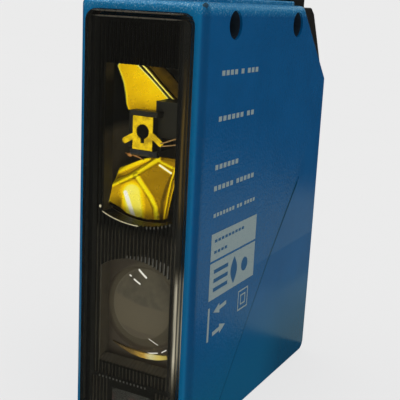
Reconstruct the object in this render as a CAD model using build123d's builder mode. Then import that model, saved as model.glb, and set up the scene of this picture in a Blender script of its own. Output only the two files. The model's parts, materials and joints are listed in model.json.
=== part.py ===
"""Compact photoelectric reflex sensor in a die-cast housing.

The sensor stands on its flat end with the connector end up. +X is across the
width, -Y is the way it looks, +Z is up. The origin is on the standing face, in
the middle of the width and of the depth. Millimetres throughout.
"""

import os
from math import sqrt

from build123d import *

os.makedirs("parts", exist_ok=True)

# ---- Housing ---------------------------------------------------------------
WIDTH = 27.0
HEIGHT = 87.5
FRONT = -31.0  # front plane of the casting
BACK = 32.5
CHAMFER = 16.5  # legs of the 45 degree corner that carries the connector
SIDE_WALL = 2.6
END_WALL = 2.6
BACK_WALL = 3.5
EDGE_ROUND = 1.4
BASE_HEEL_ROUND = 2.5

HOLE_RADIUS = 2.7  # side to side fixing holes for M5
HOLE_SPACING = 30.8
HOLE_FRONT_Y = -18.8
HOLE_Z = 83.5
HOLE_BOSS_RADIUS = 3.9

PAD_HALF_WIDTH = 12.0  # raised pad on the top end
PAD_FRONT_Y = -19.3
PAD_BACK_Y = 14.6
PAD_RISE = 0.9

RELIEF_TOP_Z = 48.4  # the hollowed flank fades out here
RELIEF_DEPTH = 0.45  # and is this deep at the base
CREASE = ((-21.2, 0), (-16.5, 5.8), (4.3, 31.5), (18.2, 46.9), (19.4, RELIEF_TOP_Z))
CREASE_WIDTH = 0.36
CREASE_DEPTH = 0.85

# ---- Window and optics -----------------------------------------------------
WINDOW_FACE = -32.5
WINDOW_HALF_WIDTH = 11.4
WINDOW_MARGIN = 2.1  # blue frame left above and below
WINDOW_CORNER = 2.3
WINDOW_THICKNESS = 1.8
WINDOW_SKIRT = 1.1
SEAL_THICKNESS = 0.5
FIT_GAP = 0.05

BLOCK_FACE = -30.5  # ribbed face just behind the window
BLOCK_HALF_WIDTH = 10.1
BLOCK_FACE_THICKNESS = 3.4
BLOCK_BACK = -12.0
CHAMBER_HALF_WIDTH = 10.6
CHAMBER_WALL = 1.2
RIB_PITCH = 0.85
RIB_GROOVE = 0.45
APERTURE_HALF_WIDTH = 8.0
RECEIVER_TOP_Z = 75.5
RECEIVER_ARC_RADIUS = 19.5
RECEIVER_ARC_Z = 64.4
SENDER_Z = 24.5
SENDER_RADIUS = 13.4
SENDER_BOTTOM_Z = 14.5
INDICATOR_Z = 7.0
INDICATOR_WIDTH = 9.2
INDICATOR_HEIGHT = 5.2
BOARD_THICKNESS = 1.2

# ---- Service panel in the back ---------------------------------------------
PANEL_HALF_WIDTH = 9.2
PANEL_BOTTOM_Z = 10.0
LID_THICKNESS = 1.8
HINGE_Y = 31.3
HINGE_Z = 44.6
HINGE_PIN_RADIUS = 0.8
KNUCKLE_RADIUS = 1.2
PLATE_INNER_Y = 26.4
PLATE_OUTER_Y = 28.5
PLATE_STEP_Y = 29.6
CONTROL_BOARD_Y = 20.0
SENSITIVITY_Z = 34.0
MODE_Z = 24.0
STATUS_Z = 16.5
STATUS_X = 4.0
KNOB_RADIUS = 3.2
KNOB_FACE_Y = 30.3
KNOB_SHAFT_RADIUS = 1.5

# ---- Swivelling connector --------------------------------------------------
TURRET_GAP = 0.1
SPIGOT_RADIUS = 6.6
SPIGOT_DEPTH = 4.6
THROAT_RADIUS = 4.4
HOOD_HALF_WIDTH = 12.0
COLUMN_HALF_WIDTH = 10.0
COLUMN_FRONT_Y = 13.6
COLUMN_BACK_Y = 25.0
COLUMN_TOP_Z = 95.0
CONNECTOR_Y = 19.3
THREAD_RADIUS = 6.0  # M12 x 1
FLANGE_RADIUS = 7.5
FLANGE_HEIGHT = 1.4
THREAD_TOP_Z = 105.5
PIN_CIRCLE_RADIUS = 2.65
PIN_RADIUS = 0.5

cavity_half = WIDTH / 2 - SIDE_WALL
cavity_back = BACK - BACK_WALL
cavity_top = HEIGHT - END_WALL
chamfer_sum = BACK + HEIGHT - CHAMFER  # y + z along the chamfer
chamfer_y = BACK - CHAMFER / 2
chamfer_z = HEIGHT - CHAMFER / 2
window_bottom = WINDOW_MARGIN
window_top = HEIGHT - WINDOW_MARGIN
window_mid = (window_bottom + window_top) / 2
window_height = window_top - window_bottom
window_back = WINDOW_FACE + WINDOW_THICKNESS
skirt_back = window_back + WINDOW_SKIRT
rebate_back = skirt_back + SEAL_THICKNESS
face_back = BLOCK_FACE + BLOCK_FACE_THICKNESS
hole_back_y = HOLE_FRONT_Y + HOLE_SPACING

turret_plane = Plane(origin=(0, chamfer_y, chamfer_z), x_dir=(1, 0, 0), z_dir=(0, 1, 1))


def facing_front(y):
    """The plane at depth y whose extrusions grow towards the front."""
    return Plane.XZ.offset(-y)


def facing_back(y):
    """The plane at depth y whose extrusions grow towards the back."""
    return Plane(origin=(0, y, 0), x_dir=(-1, 0, 0), z_dir=(0, 1, 0))


def save(piece, name):
    """Label a finished piece and write it as its own STEP."""
    piece.part.label = name
    export_step(piece.part, f"parts/{name}.step")


# ---- Housing ---------------------------------------------------------------
with BuildPart() as flank_relief:
    # Behind a diagonal crease each flank falls away, deepest at the base.
    with BuildSketch(Plane.YZ.offset(WIDTH / 2 - 2)):
        with BuildLine():
            Polyline(*CREASE, (BACK + 1, RELIEF_TOP_Z), (BACK + 1, -1), (CREASE[0][0], -1), close=True)
        make_face()
    extrude(amount=3)
    with BuildSketch(Plane.XZ):
        with BuildLine():
            Polyline(
                (WIDTH / 2, RELIEF_TOP_Z),
                (WIDTH / 2 - RELIEF_DEPTH, 0),
                (WIDTH / 2 - RELIEF_DEPTH, -2),
                (WIDTH / 2 + 2, -2),
                (WIDTH / 2 + 2, RELIEF_TOP_Z),
                close=True,
            )
        make_face()
    extrude(amount=2 * BACK, both=True, mode=Mode.INTERSECT)

with BuildPart() as flank_crease:
    # A fine groove that draws the edge of the hollowed flank.
    with BuildSketch(Plane.YZ.offset(WIDTH / 2 - CREASE_DEPTH)):
        with BuildLine():
            Polyline(*CREASE)
        trace(line_width=CREASE_WIDTH)
    extrude(amount=2)

with BuildPart() as housing:
    with BuildSketch(Plane.YZ):
        with BuildLine():
            Polyline(
                (FRONT, 0),
                (BACK, 0),
                (BACK, HEIGHT - CHAMFER),
                (BACK - CHAMFER, HEIGHT),
                (FRONT, HEIGHT),
                close=True,
            )
        make_face()
    extrude(amount=WIDTH / 2, both=True)
    cross_edges = housing.edges().filter_by(Axis.X)
    base_heel = cross_edges.filter_by_position(Axis.Z, -0.1, 0.1).sort_by(Axis.Y)[-1]
    fillet(base_heel, BASE_HEEL_ROUND)
    square_edges = housing.edges().filter_by(Axis.X).filter_by(
        lambda e: abs(e.center().Y - FRONT) < 0.1 or e.center().Z > 60
    )
    fillet(square_edges, EDGE_ROUND)
    fillet(housing.faces().filter_by(Axis.X).edges(), EDGE_ROUND)

    with BuildSketch(Plane.XY.offset(HEIGHT - 0.5)):
        pad_length = PAD_BACK_Y - PAD_FRONT_Y
        with Locations((0, (PAD_FRONT_Y + PAD_BACK_Y) / 2)):
            RectangleRounded(2 * PAD_HALF_WIDTH, pad_length, 2.5)
    extrude(amount=PAD_RISE + 0.5)
    pad_rim = housing.faces().sort_by(Axis.Z)[-1].edges()
    fillet(pad_rim, 0.35)

    for hollow in (flank_relief, flank_crease):
        add(hollow.part, mode=Mode.SUBTRACT)
        add(hollow.part.mirror(Plane.YZ), mode=Mode.SUBTRACT)

    # Cavity, leaving round bosses where the fixing holes cross it.
    with BuildSketch(Plane.YZ):
        with BuildLine():
            inner_sum = chamfer_sum - END_WALL * sqrt(2)
            Polyline(
                (FRONT - 1, END_WALL),
                (cavity_back, END_WALL),
                (cavity_back, inner_sum - cavity_back),
                (inner_sum - cavity_top, cavity_top),
                (FRONT - 1, cavity_top),
                close=True,
            )
        make_face()
        with Locations((HOLE_FRONT_Y, HOLE_Z), (hole_back_y, HOLE_Z)):
            Circle(HOLE_BOSS_RADIUS, mode=Mode.SUBTRACT)
    extrude(amount=cavity_half, both=True, mode=Mode.SUBTRACT)
    with BuildSketch(Plane.YZ):
        with Locations((HOLE_FRONT_Y, HOLE_Z), (hole_back_y, HOLE_Z)):
            Circle(HOLE_RADIUS)
    extrude(amount=WIDTH, both=True, mode=Mode.SUBTRACT)

    # Rebate for the window skirt.
    with BuildSketch(facing_front(rebate_back)):
        with Locations((0, window_mid)):
            RectangleRounded(
                2 * (WINDOW_HALF_WIDTH + FIT_GAP),
                window_height + 2 * FIT_GAP,
                WINDOW_CORNER + FIT_GAP,
            )
    extrude(amount=4, mode=Mode.SUBTRACT)

    # Turret seat in the chamfer.
    with BuildSketch(turret_plane):
        Circle(SPIGOT_RADIUS + FIT_GAP)
    extrude(amount=-(END_WALL + 1), mode=Mode.SUBTRACT)

    # Service panel: lid rebate, hinge groove and the opening behind them.
    panel_top = HINGE_Z + 1.7
    with BuildSketch(facing_front(BACK + 1)):
        with Locations((0, (PANEL_BOTTOM_Z + panel_top) / 2)):
            Rectangle(2 * PANEL_HALF_WIDTH, panel_top - PANEL_BOTTOM_Z)
    extrude(amount=LID_THICKNESS + 0.1 + 1, mode=Mode.SUBTRACT)
    with BuildSketch(Plane.YZ):
        with BuildLine():
            Polyline(
                (HINGE_Y - 1.4, HINGE_Z - 1.4),
                (HINGE_Y - 1.4, panel_top),
                (BACK - 0.8, panel_top),
                (BACK + 0.2, panel_top + 1.0),
                (BACK + 0.2, HINGE_Z - 1.4),
                close=True,
            )
        make_face()
    extrude(amount=PANEL_HALF_WIDTH, both=True, mode=Mode.SUBTRACT)
    with BuildSketch(facing_front(BACK)):
        with Locations((0, 27.5)):
            RectangleRounded(16.4, 30.2, 1.5)
    extrude(amount=BACK_WALL + 1, mode=Mode.SUBTRACT)
    with BuildSketch(Plane.YZ):
        with Locations((HINGE_Y, HINGE_Z)):
            Circle(HINGE_PIN_RADIUS)
    extrude(amount=PANEL_HALF_WIDTH + 1.0, both=True, mode=Mode.SUBTRACT)
    # Finger scoop below the lid.
    with BuildSketch(Plane.YZ):
        with Locations((BACK + 1.4, PANEL_BOTTOM_Z - 0.2)):
            Circle(3.0)
    extrude(amount=4, both=True, mode=Mode.SUBTRACT)
save(housing, "housing")

# ---- Front window ----------------------------------------------------------
with BuildPart() as front_window:
    with BuildSketch(facing_front(skirt_back)):
        with Locations((0, window_mid)):
            RectangleRounded(2 * WINDOW_HALF_WIDTH, window_height, WINDOW_CORNER)
    extrude(amount=skirt_back - WINDOW_FACE)
    fillet(front_window.faces().sort_by(Axis.Y)[0].edges(), 0.5)
    with BuildSketch(facing_front(skirt_back)):
        with Locations((0, window_mid)):
            RectangleRounded(
                2 * (WINDOW_HALF_WIDTH - 1.1),
                window_height - 2.2,
                WINDOW_CORNER - 1.0,
            )
    extrude(amount=WINDOW_SKIRT, mode=Mode.SUBTRACT)
save(front_window, "front_window")

with BuildPart() as window_seal:
    with BuildSketch(facing_front(rebate_back)):
        with Locations((0, window_mid)):
            RectangleRounded(2 * WINDOW_HALF_WIDTH, window_height, WINDOW_CORNER)
            RectangleRounded(
                2 * WINDOW_HALF_WIDTH - 1.0, window_height - 1.0, WINDOW_CORNER - 0.5, mode=Mode.SUBTRACT
            )
    extrude(amount=SEAL_THICKNESS)
save(window_seal, "window_seal")


# ---- Optics block ----------------------------------------------------------
def aperture(straight_z, arc_centre_z, arc_radius, side):
    """An opening with one straight end and one arched end, side being the arch's direction."""
    corner_z = arc_centre_z + side * sqrt(arc_radius**2 - APERTURE_HALF_WIDTH**2)
    crown_z = arc_centre_z + side * arc_radius
    with BuildSketch(facing_front(face_back)) as outline:
        with BuildLine():
            Polyline(
                (-APERTURE_HALF_WIDTH, corner_z),
                (-APERTURE_HALF_WIDTH, straight_z),
                (APERTURE_HALF_WIDTH, straight_z),
                (APERTURE_HALF_WIDTH, corner_z),
            )
            ThreePointArc(
                (APERTURE_HALF_WIDTH, corner_z), (0, crown_z), (-APERTURE_HALF_WIDTH, corner_z)
            )
        make_face()
    return outline.sketch


receiver_opening = aperture(RECEIVER_TOP_Z, RECEIVER_ARC_Z, RECEIVER_ARC_RADIUS, -1)
sender_opening = aperture(SENDER_BOTTOM_Z, SENDER_Z, SENDER_RADIUS, 1)


receiver_floor, receiver_roof = 42.5, 78.5
sender_floor, sender_roof = 10.4, 41.5
inner_half = CHAMBER_HALF_WIDTH - CHAMBER_WALL
block_bottom, block_top = window_bottom + 1.3, window_top - 1.3

with BuildPart() as optics_block:
    with BuildSketch(facing_front(face_back)):
        with Locations((0, window_mid)):
            RectangleRounded(2 * BLOCK_HALF_WIDTH, block_top - block_bottom, 1.2)
    extrude(amount=BLOCK_FACE_THICKNESS)
    for floor_z, roof_z in ((receiver_floor, receiver_roof), (sender_floor, sender_roof)):
        with BuildSketch(facing_front(BLOCK_BACK)):
            with Locations((0, (floor_z + roof_z) / 2)):
                Rectangle(2 * CHAMBER_HALF_WIDTH, roof_z - floor_z)
                Rectangle(
                    2 * inner_half, roof_z - floor_z - 2 * CHAMBER_WALL, mode=Mode.SUBTRACT
                )
        extrude(amount=BLOCK_BACK - face_back)
    extrude(receiver_opening, amount=BLOCK_FACE_THICKNESS, mode=Mode.SUBTRACT)
    extrude(sender_opening, amount=BLOCK_FACE_THICKNESS, mode=Mode.SUBTRACT)
    with BuildSketch(facing_front(face_back)):
        with Locations((0, INDICATOR_Z)):
            Rectangle(INDICATOR_WIDTH, INDICATOR_HEIGHT)
    extrude(amount=BLOCK_FACE_THICKNESS, mode=Mode.SUBTRACT)
    # Anti-glare ribs, cut as grooves that stop at a plain band near the base.
    rib_count = int(2 * (BLOCK_HALF_WIDTH - 0.6) / RIB_PITCH)
    with BuildSketch(facing_front(BLOCK_FACE + RIB_GROOVE)):
        with Locations((0, (12.0 + block_top - 0.8) / 2)):
            with GridLocations(RIB_PITCH, 1, rib_count, 1):
                Rectangle(RIB_GROOVE, block_top - 0.8 - 12.0)
        for side in (-1, 1):
            with Locations((side * 7.65, 7.8)):
                with GridLocations(RIB_PITCH, 1, 5, 1):
                    Rectangle(RIB_GROOVE, 6.6)
    extrude(amount=1, mode=Mode.SUBTRACT)
save(optics_block, "optics_block")

# ---- Receiver --------------------------------------------------------------
MIRROR_RADIUS = 40.0  # concave reflectors share one centre in front of the window
MIRROR_CENTRE = (0, -63.0, 62.0)
MIRROR_THICKNESS = 0.8

with BuildPart() as rim_groove:
    with BuildSketch(facing_front(-20)):
        with BuildLine():
            ThreePointArc((-5.9, 77.4), (0.3, 72.6), (3.5, 68.9))
            Line((3.5, 68.9), (3.8, 68.9))
            ThreePointArc((3.8, 68.9), (0.6, 72.7), (-5.6, 77.4))
            Line((-5.6, 77.4), (-5.9, 77.4))
        make_face()
    extrude(amount=9)
    with Locations(MIRROR_CENTRE):
        Sphere(MIRROR_RADIUS + 0.3, mode=Mode.INTERSECT)

with BuildPart() as upper_mirror:
    # A leaf of the concave mirror with a long curved right-hand edge.
    with BuildSketch(facing_front(-20)):
        with BuildLine():
            Polyline(
                (4.7, 69.2),
                (-0.1, 69.0),
                (-0.1, 66.95),
                (-6.6, 66.6),
                (-7.5, 70.6),
                (-8.8, 75.0),
                (-8.8, 77.3),
                (-4.4, 77.3),
            )
            ThreePointArc((-4.4, 77.3), (1.4, 73.0), (4.7, 69.2))
        make_face()
    extrude(amount=9)
    with Locations(MIRROR_CENTRE):
        Sphere(MIRROR_RADIUS + MIRROR_THICKNESS, mode=Mode.INTERSECT)
        Sphere(MIRROR_RADIUS, mode=Mode.SUBTRACT)
    add(rim_groove.part, mode=Mode.SUBTRACT)
save(upper_mirror, "upper_mirror")

with BuildPart() as lower_mirror:
    # A folded reflector: facets meet at ridges that fan out from one point.
    with BuildSketch(facing_front(-23.5)):
        with BuildLine():
            Polyline(
                (-8.0, 54.6),
                (-2.0, 57.4),
                (2.2, 58.4),
                (6.4, 58.0),
                (5.8, 53.4),
                (4.9, 49.0),
                (4.7, 43.7),
                (-9.1, 43.7),
                close=True,
            )
        make_face()
    extrude(amount=3.5)
    fold_point = (-2.9, -26.4, 55.0)
    strip_point = (5.0, -26.4, 57.3)
    facets = (
        (fold_point, (-0.10, -1, 0.033)),
        (fold_point, (0.12, -1, 0.17)),
        (fold_point, (-0.325, -1, 0.45)),
        (strip_point, (0.60, -1, 0.0)),
    )
    for point, normal in facets:
        with Locations(Plane(origin=point, z_dir=normal)):
            Box(60, 60, 10, align=(Align.CENTER, Align.CENTER, Align.MIN), mode=Mode.SUBTRACT)
save(lower_mirror, "lower_mirror")

CARRIER_FACE = -28.2
with BuildPart() as detector_carrier:
    # Post behind the lead frame and an arm to the right-hand chamber wall.
    with BuildSketch(facing_front(-22.0)):
        with Locations((-0.9, 62.8)):
            Rectangle(7.4, 7.2)
    extrude(amount=4.6)
    with BuildSketch(facing_front(-22.0)):
        with Locations((5.4, 65.3)):
            Rectangle(8.0, 7.0)
    extrude(amount=4.6)
    with BuildSketch(facing_front(-22.0)):
        with Locations((-0.3, 62.4)):
            Rectangle(4.4, 6.4)
    extrude(amount=CARRIER_FACE * -1 - 22.0)
    with BuildSketch(facing_front(-26.6)):
        with Locations((0.1, 66.4)):
            Rectangle(6.0, 1.0)
    extrude(amount=2.2)
    with BuildSketch(facing_front(CARRIER_FACE + 1.2)):
        with Locations((-0.3, 62.9)):
            Circle(1.9)
    extrude(amount=3, mode=Mode.SUBTRACT)
save(detector_carrier, "detector_carrier")

with BuildPart() as photodiode:
    with BuildSketch(facing_front(CARRIER_FACE + 1.2)):
        with Locations((-0.3, 62.9)):
            Circle(1.9)
    extrude(amount=1.2)
save(photodiode, "photodiode")

with BuildPart() as lead_frame:
    # Stamped plate with a keyhole over the detector and two side arms.
    with BuildSketch(facing_front(CARRIER_FACE)):
        with Locations((-0.3, 62.6)):
            Rectangle(4.5, 6.5)
        with Locations((-3.4, 61.3)):
            SlotOverall(3.2, 1.2, rotation=30)
        with Locations((2.9, 61.6)):
            SlotOverall(3.2, 1.2, rotation=-35)
        with Locations((-0.3, 62.9)):
            Circle(1.4, mode=Mode.SUBTRACT)
        with Locations((-0.3, 61.3)):
            Rectangle(0.8, 1.2, mode=Mode.SUBTRACT)
    extrude(amount=0.3)
save(lead_frame, "lead_frame")

with BuildPart() as sense_wires:
    # Two fine wires from the right arm to the side of the opening.
    wire_runs = (((3.9, 61.1), (8.0, 62.7)), ((4.0, 60.6), (8.0, 61.4)))
    for start, end in wire_runs:
        with BuildLine() as wire_path:
            Line((start[0], CARRIER_FACE - 0.45, start[1]), (end[0], CARRIER_FACE - 0.45, end[1]))
        with BuildSketch(Plane(origin=wire_path.line @ 0, z_dir=wire_path.line % 0)):
            Circle(0.14)
        sweep(path=wire_path.line)
save(sense_wires, "sense_wires")

with BuildPart() as carrier_clip:
    # Brass spring clip that closes the carrier from below.
    with BuildSketch(Plane.YZ.offset(-3.2)):
        with BuildLine():
            Polyline(
                (-28.2, 59.2),
                (-28.2, 58.4),
                (-27.8, 58.0),
                (-27.1, 58.0),
                (-27.1, 58.5),
                (-27.6, 58.6),
                (-27.6, 59.2),
                close=True,
            )
        make_face()
    extrude(amount=6.0)
save(carrier_clip, "carrier_clip")

with BuildPart() as receiver_board:
    with BuildSketch(facing_front(BLOCK_BACK + BOARD_THICKNESS)):
        with Locations((0, (receiver_floor + receiver_roof) / 2)):
            Rectangle(2 * CHAMBER_HALF_WIDTH, receiver_roof - receiver_floor)
    extrude(amount=BOARD_THICKNESS)
save(receiver_board, "receiver_board")

# ---- Sender ----------------------------------------------------------------
DOME_RADIUS = 15.0
DOME_APEX_Y = -30.0
DOME_Z = 26.6
FLANGE_BACK_Y = -23.5
LED_TIP_Y = -16.5

with BuildPart() as sender_lens:
    with BuildSketch(facing_front(FLANGE_BACK_Y)):
        with Locations((0, (sender_floor + sender_roof) / 2)):
            Rectangle(2 * (inner_half - FIT_GAP), 28.0)
    extrude(amount=FLANGE_BACK_Y - face_back)
    with BuildSketch(facing_front(FLANGE_BACK_Y)):
        with Locations((0, DOME_Z)):
            Rectangle(2 * APERTURE_HALF_WIDTH - 0.2, 20)
    dome_prism = extrude(amount=FLANGE_BACK_Y - DOME_APEX_Y + 1, mode=Mode.PRIVATE)
    with Locations((0, DOME_APEX_Y + DOME_RADIUS, DOME_Z)):
        dome_ball = Sphere(DOME_RADIUS, mode=Mode.PRIVATE)
    add(dome_prism & dome_ball)
save(sender_lens, "sender_lens")

with BuildPart() as sender_reflector:
    # Gilt crescent on the lens flange, below the dome.
    with BuildSketch(facing_front(face_back)):
        with BuildLine():
            ThreePointArc((-6.7, 18.3), (0.4, 16.3), (7.9, 18.0))
            Line((7.9, 18.0), (7.9, 18.5))
            ThreePointArc((7.9, 18.5), (0.4, 17.4), (-6.7, 18.3))
        make_face()
    extrude(amount=0.4)
save(sender_reflector, "sender_reflector")

with BuildPart() as sender_tube:
    # Black tube that keeps stray light off the lens.
    with BuildSketch(facing_front(BLOCK_BACK)):
        with Locations((0, SENDER_Z)):
            Circle(6.5)
            Circle(5.3, mode=Mode.SUBTRACT)
    extrude(amount=BLOCK_BACK - FLANGE_BACK_Y)
save(sender_tube, "sender_tube")

with BuildPart() as sender_led:
    with BuildSketch(facing_front(BLOCK_BACK)):
        with Locations((0, SENDER_Z)):
            Circle(2.9)
    extrude(amount=1.0)
    with BuildSketch(facing_front(BLOCK_BACK - 1.0)):
        with Locations((0, SENDER_Z)):
            Circle(2.5)
    extrude(amount=BLOCK_BACK - 1.0 - LED_TIP_Y)
    fillet(sender_led.faces().sort_by(Axis.Y)[0].edges(), 2.2)
save(sender_led, "sender_led")

sender_board_bottom = 4.2
with BuildPart() as sender_board:
    with BuildSketch(facing_front(BLOCK_BACK + BOARD_THICKNESS)):
        with Locations((0, (sender_board_bottom + sender_roof) / 2)):
            Rectangle(2 * CHAMBER_HALF_WIDTH, sender_roof - sender_board_bottom)
    extrude(amount=BOARD_THICKNESS)
save(sender_board, "sender_board")

with BuildPart() as indicator_lens:
    # Long light pipe from the front face back to its lamp.
    with BuildSketch(facing_front(BLOCK_BACK - 1.0)):
        with Locations((0, INDICATOR_Z)):
            Rectangle(INDICATOR_WIDTH - 2 * FIT_GAP, INDICATOR_HEIGHT - 2 * FIT_GAP)
    extrude(amount=BLOCK_BACK - 1.0 - (BLOCK_FACE + 0.2))
save(indicator_lens, "indicator_lens")

with BuildPart() as indicator_led:
    with BuildSketch(facing_front(BLOCK_BACK)):
        with Locations((1.5, INDICATOR_Z)):
            Rectangle(2.0, 1.6)
    extrude(amount=1.0)
save(indicator_led, "indicator_led")

# ---- Main electronics ------------------------------------------------------
MAIN_BOARD_X = 8.0  # inner face; the board stands along the right flank
MAIN_BOARD_BACK_Y = 19.5
MAIN_BOARD_TOP_Z = 74.0
BOARD_SCREW_Y = 4.0
RAIL_Z = (11.0, 70.0)
main_board_front = BLOCK_BACK + BOARD_THICKNESS + 0.4
main_board_outer = MAIN_BOARD_X + BOARD_THICKNESS

with BuildPart() as main_board:
    with BuildSketch(Plane.YZ.offset(MAIN_BOARD_X)):
        with Locations(((main_board_front + MAIN_BOARD_BACK_Y) / 2, (5 + MAIN_BOARD_TOP_Z) / 2)):
            Rectangle(MAIN_BOARD_BACK_Y - main_board_front, MAIN_BOARD_TOP_Z - 5)
        with Locations(*[(BOARD_SCREW_Y, z) for z in RAIL_Z]):
            Circle(0.9, mode=Mode.SUBTRACT)
    extrude(amount=BOARD_THICKNESS)
save(main_board, "main_board")

with BuildPart() as board_rails:
    # Two rails on the flank wall that the main board is screwed to.
    with BuildSketch(Plane.YZ.offset(main_board_outer)):
        with Locations(*[(BOARD_SCREW_Y, z) for z in RAIL_Z]):
            Rectangle(24, 3.6)
            Circle(0.8, mode=Mode.SUBTRACT)
    extrude(amount=cavity_half - main_board_outer)
save(board_rails, "board_rails")

with BuildPart() as board_screws:
    with BuildSketch(Plane.YZ.offset(MAIN_BOARD_X - 1.0)):
        with Locations(*[(BOARD_SCREW_Y, z) for z in RAIL_Z]):
            Circle(1.6)
    extrude(amount=1.0)
    with BuildSketch(Plane.YZ.offset(MAIN_BOARD_X - 0.5)):
        with Locations(*[(BOARD_SCREW_Y, z) for z in RAIL_Z]):
            Circle(0.8)
    extrude(amount=cavity_half - MAIN_BOARD_X)
    with BuildSketch(Plane.YZ.offset(MAIN_BOARD_X - 1.0)):
        with Locations(*[(BOARD_SCREW_Y, z) for z in RAIL_Z]):
            Rectangle(2.4, 0.4)
    extrude(amount=0.4, mode=Mode.SUBTRACT)
save(board_screws, "board_screws")


def board_blocks(height, places):
    """Rectangular components on the inner face of the main board."""
    with BuildPart() as blocks:
        for y, z, length, width in places:
            with BuildSketch(Plane.YZ.offset(MAIN_BOARD_X - height)):
                with Locations((y, z)):
                    Rectangle(length, width)
            extrude(amount=height)
    return blocks


microcontroller = board_blocks(1.4, ((4.0, 38.0, 7.0, 7.0),))
save(microcontroller, "microcontroller")
output_transistors = board_blocks(1.8, ((0.0, 58.0, 4.0, 3.2), (8.0, 58.0, 4.0, 3.2)))
save(output_transistors, "output_transistors")
inductor = board_blocks(4.0, ((5.0, 20.0, 6.0, 6.0),))
save(inductor, "inductor")
board_headers = board_blocks(3.0, ((-7.9, 50.0, 5.0, 12.0), (-7.9, 20.0, 5.0, 12.0), (14.0, 66.0, 8.0, 5.0)))
save(board_headers, "board_headers")

with BuildPart() as capacitors:
    with BuildSketch(Plane.YZ.offset(MAIN_BOARD_X - 8.0)):
        with Locations((4.0, 48.5), (12.0, 48.5)):
            Circle(2.5)
    extrude(amount=8.0)
    fillet(capacitors.faces().sort_by(Axis.X)[:2].edges(), 0.4)
save(capacitors, "capacitors")

# ---- Service panel ---------------------------------------------------------
control_z = (SENSITIVITY_Z, MODE_Z)
panel_mid = 27.5
plate_half_width = 9.6
plate_height = 33.4

with BuildPart() as control_seal:
    with BuildSketch(facing_front(cavity_back)):
        with Locations((0, panel_mid)):
            Rectangle(2 * plate_half_width, plate_height)
            RectangleRounded(16.6, 30.4, 1.5, mode=Mode.SUBTRACT)
    extrude(amount=cavity_back - PLATE_OUTER_Y)
save(control_seal, "control_seal")

with BuildPart() as control_plate:
    with BuildSketch(facing_front(PLATE_OUTER_Y)):
        with Locations((0, panel_mid)):
            Rectangle(2 * plate_half_width, plate_height)
    extrude(amount=PLATE_OUTER_Y - PLATE_INNER_Y)
    with BuildSketch(facing_front(PLATE_STEP_Y)):
        with Locations((0, panel_mid)):
            RectangleRounded(16.2, 30.0, 1.3)
    extrude(amount=PLATE_STEP_Y - PLATE_OUTER_Y)
    with BuildSketch(facing_front(PLATE_STEP_Y)):
        with Locations(*[(0, z) for z in control_z]):
            Circle(KNOB_RADIUS + 0.3)
    extrude(amount=PLATE_STEP_Y - PLATE_OUTER_Y, mode=Mode.SUBTRACT)
    with BuildSketch(facing_front(PLATE_STEP_Y)):
        with Locations(*[(0, z) for z in control_z]):
            Circle(KNOB_SHAFT_RADIUS + FIT_GAP)
        with Locations((-STATUS_X, STATUS_Z), (STATUS_X, STATUS_Z)):
            Circle(1.4)
    extrude(amount=PLATE_STEP_Y - PLATE_INNER_Y, mode=Mode.SUBTRACT)
save(control_plate, "control_plate")

board_back = CONTROL_BOARD_Y + BOARD_THICKNESS
with BuildPart() as control_board:
    with BuildSketch(facing_front(board_back)):
        with Locations((-0.4, panel_mid)):
            Rectangle(18.0, 33.0)
    extrude(amount=BOARD_THICKNESS)
save(control_board, "control_board")


def control_body(z, name):
    """Square potentiometer or switch body with a bore for its knob's shaft."""
    with BuildPart() as body:
        with BuildSketch(facing_front(PLATE_INNER_Y)):
            with Locations((0, z)):
                Rectangle(7.5, 7.5)
        extrude(amount=PLATE_INNER_Y - board_back)
        with BuildSketch(facing_front(PLATE_INNER_Y)):
            with Locations((0, z)):
                Circle(KNOB_SHAFT_RADIUS + FIT_GAP)
        extrude(amount=3.5, mode=Mode.SUBTRACT)
    save(body, name)


control_body(SENSITIVITY_Z, "sensitivity_potentiometer")
control_body(MODE_Z, "mode_switch")


def control_knob(z, pointer, name):
    """Round knob with a driver slot; the pointer variant has a flat cut as well."""
    with BuildPart() as knob:
        with BuildSketch(facing_front(KNOB_FACE_Y)):
            with Locations((0, z)):
                Circle(KNOB_RADIUS)
        extrude(amount=KNOB_FACE_Y - PLATE_OUTER_Y - FIT_GAP)
        fillet(knob.faces().sort_by(Axis.Y)[-1].edges(), 0.3)
        with BuildSketch(facing_front(KNOB_FACE_Y - 1.0)):
            with Locations((0, z)):
                Circle(KNOB_SHAFT_RADIUS)
        extrude(amount=6.2)
        with BuildSketch(facing_front(KNOB_FACE_Y)):
            with Locations((0, z)):
                Rectangle(4.6, 0.9)
            if pointer:
                with Locations((2.1, z)):
                    RegularPolygon(0.9, 3)
            else:
                with Locations((0, z)):
                    Rectangle(0.9, 4.6)
        extrude(amount=0.9, mode=Mode.SUBTRACT)
    save(knob, name)


control_knob(SENSITIVITY_Z, False, "sensitivity_knob")
control_knob(MODE_Z, True, "mode_selector")

with BuildPart() as status_leds:
    with BuildSketch(facing_front(board_back + 1.2)):
        with Locations((-STATUS_X, STATUS_Z), (STATUS_X, STATUS_Z)):
            Rectangle(2.0, 1.6)
    extrude(amount=1.2)
save(status_leds, "status_leds")

with BuildPart() as status_light_pipes:
    with BuildSketch(facing_front(PLATE_STEP_Y + 0.3)):
        with Locations((-STATUS_X, STATUS_Z), (STATUS_X, STATUS_Z)):
            Circle(1.4)
    extrude(amount=PLATE_STEP_Y + 0.3 - board_back - 1.2)
    fillet(status_light_pipes.faces().sort_by(Axis.Y)[-2:].edges(), 0.3)
save(status_light_pipes, "status_light_pipes")

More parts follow.
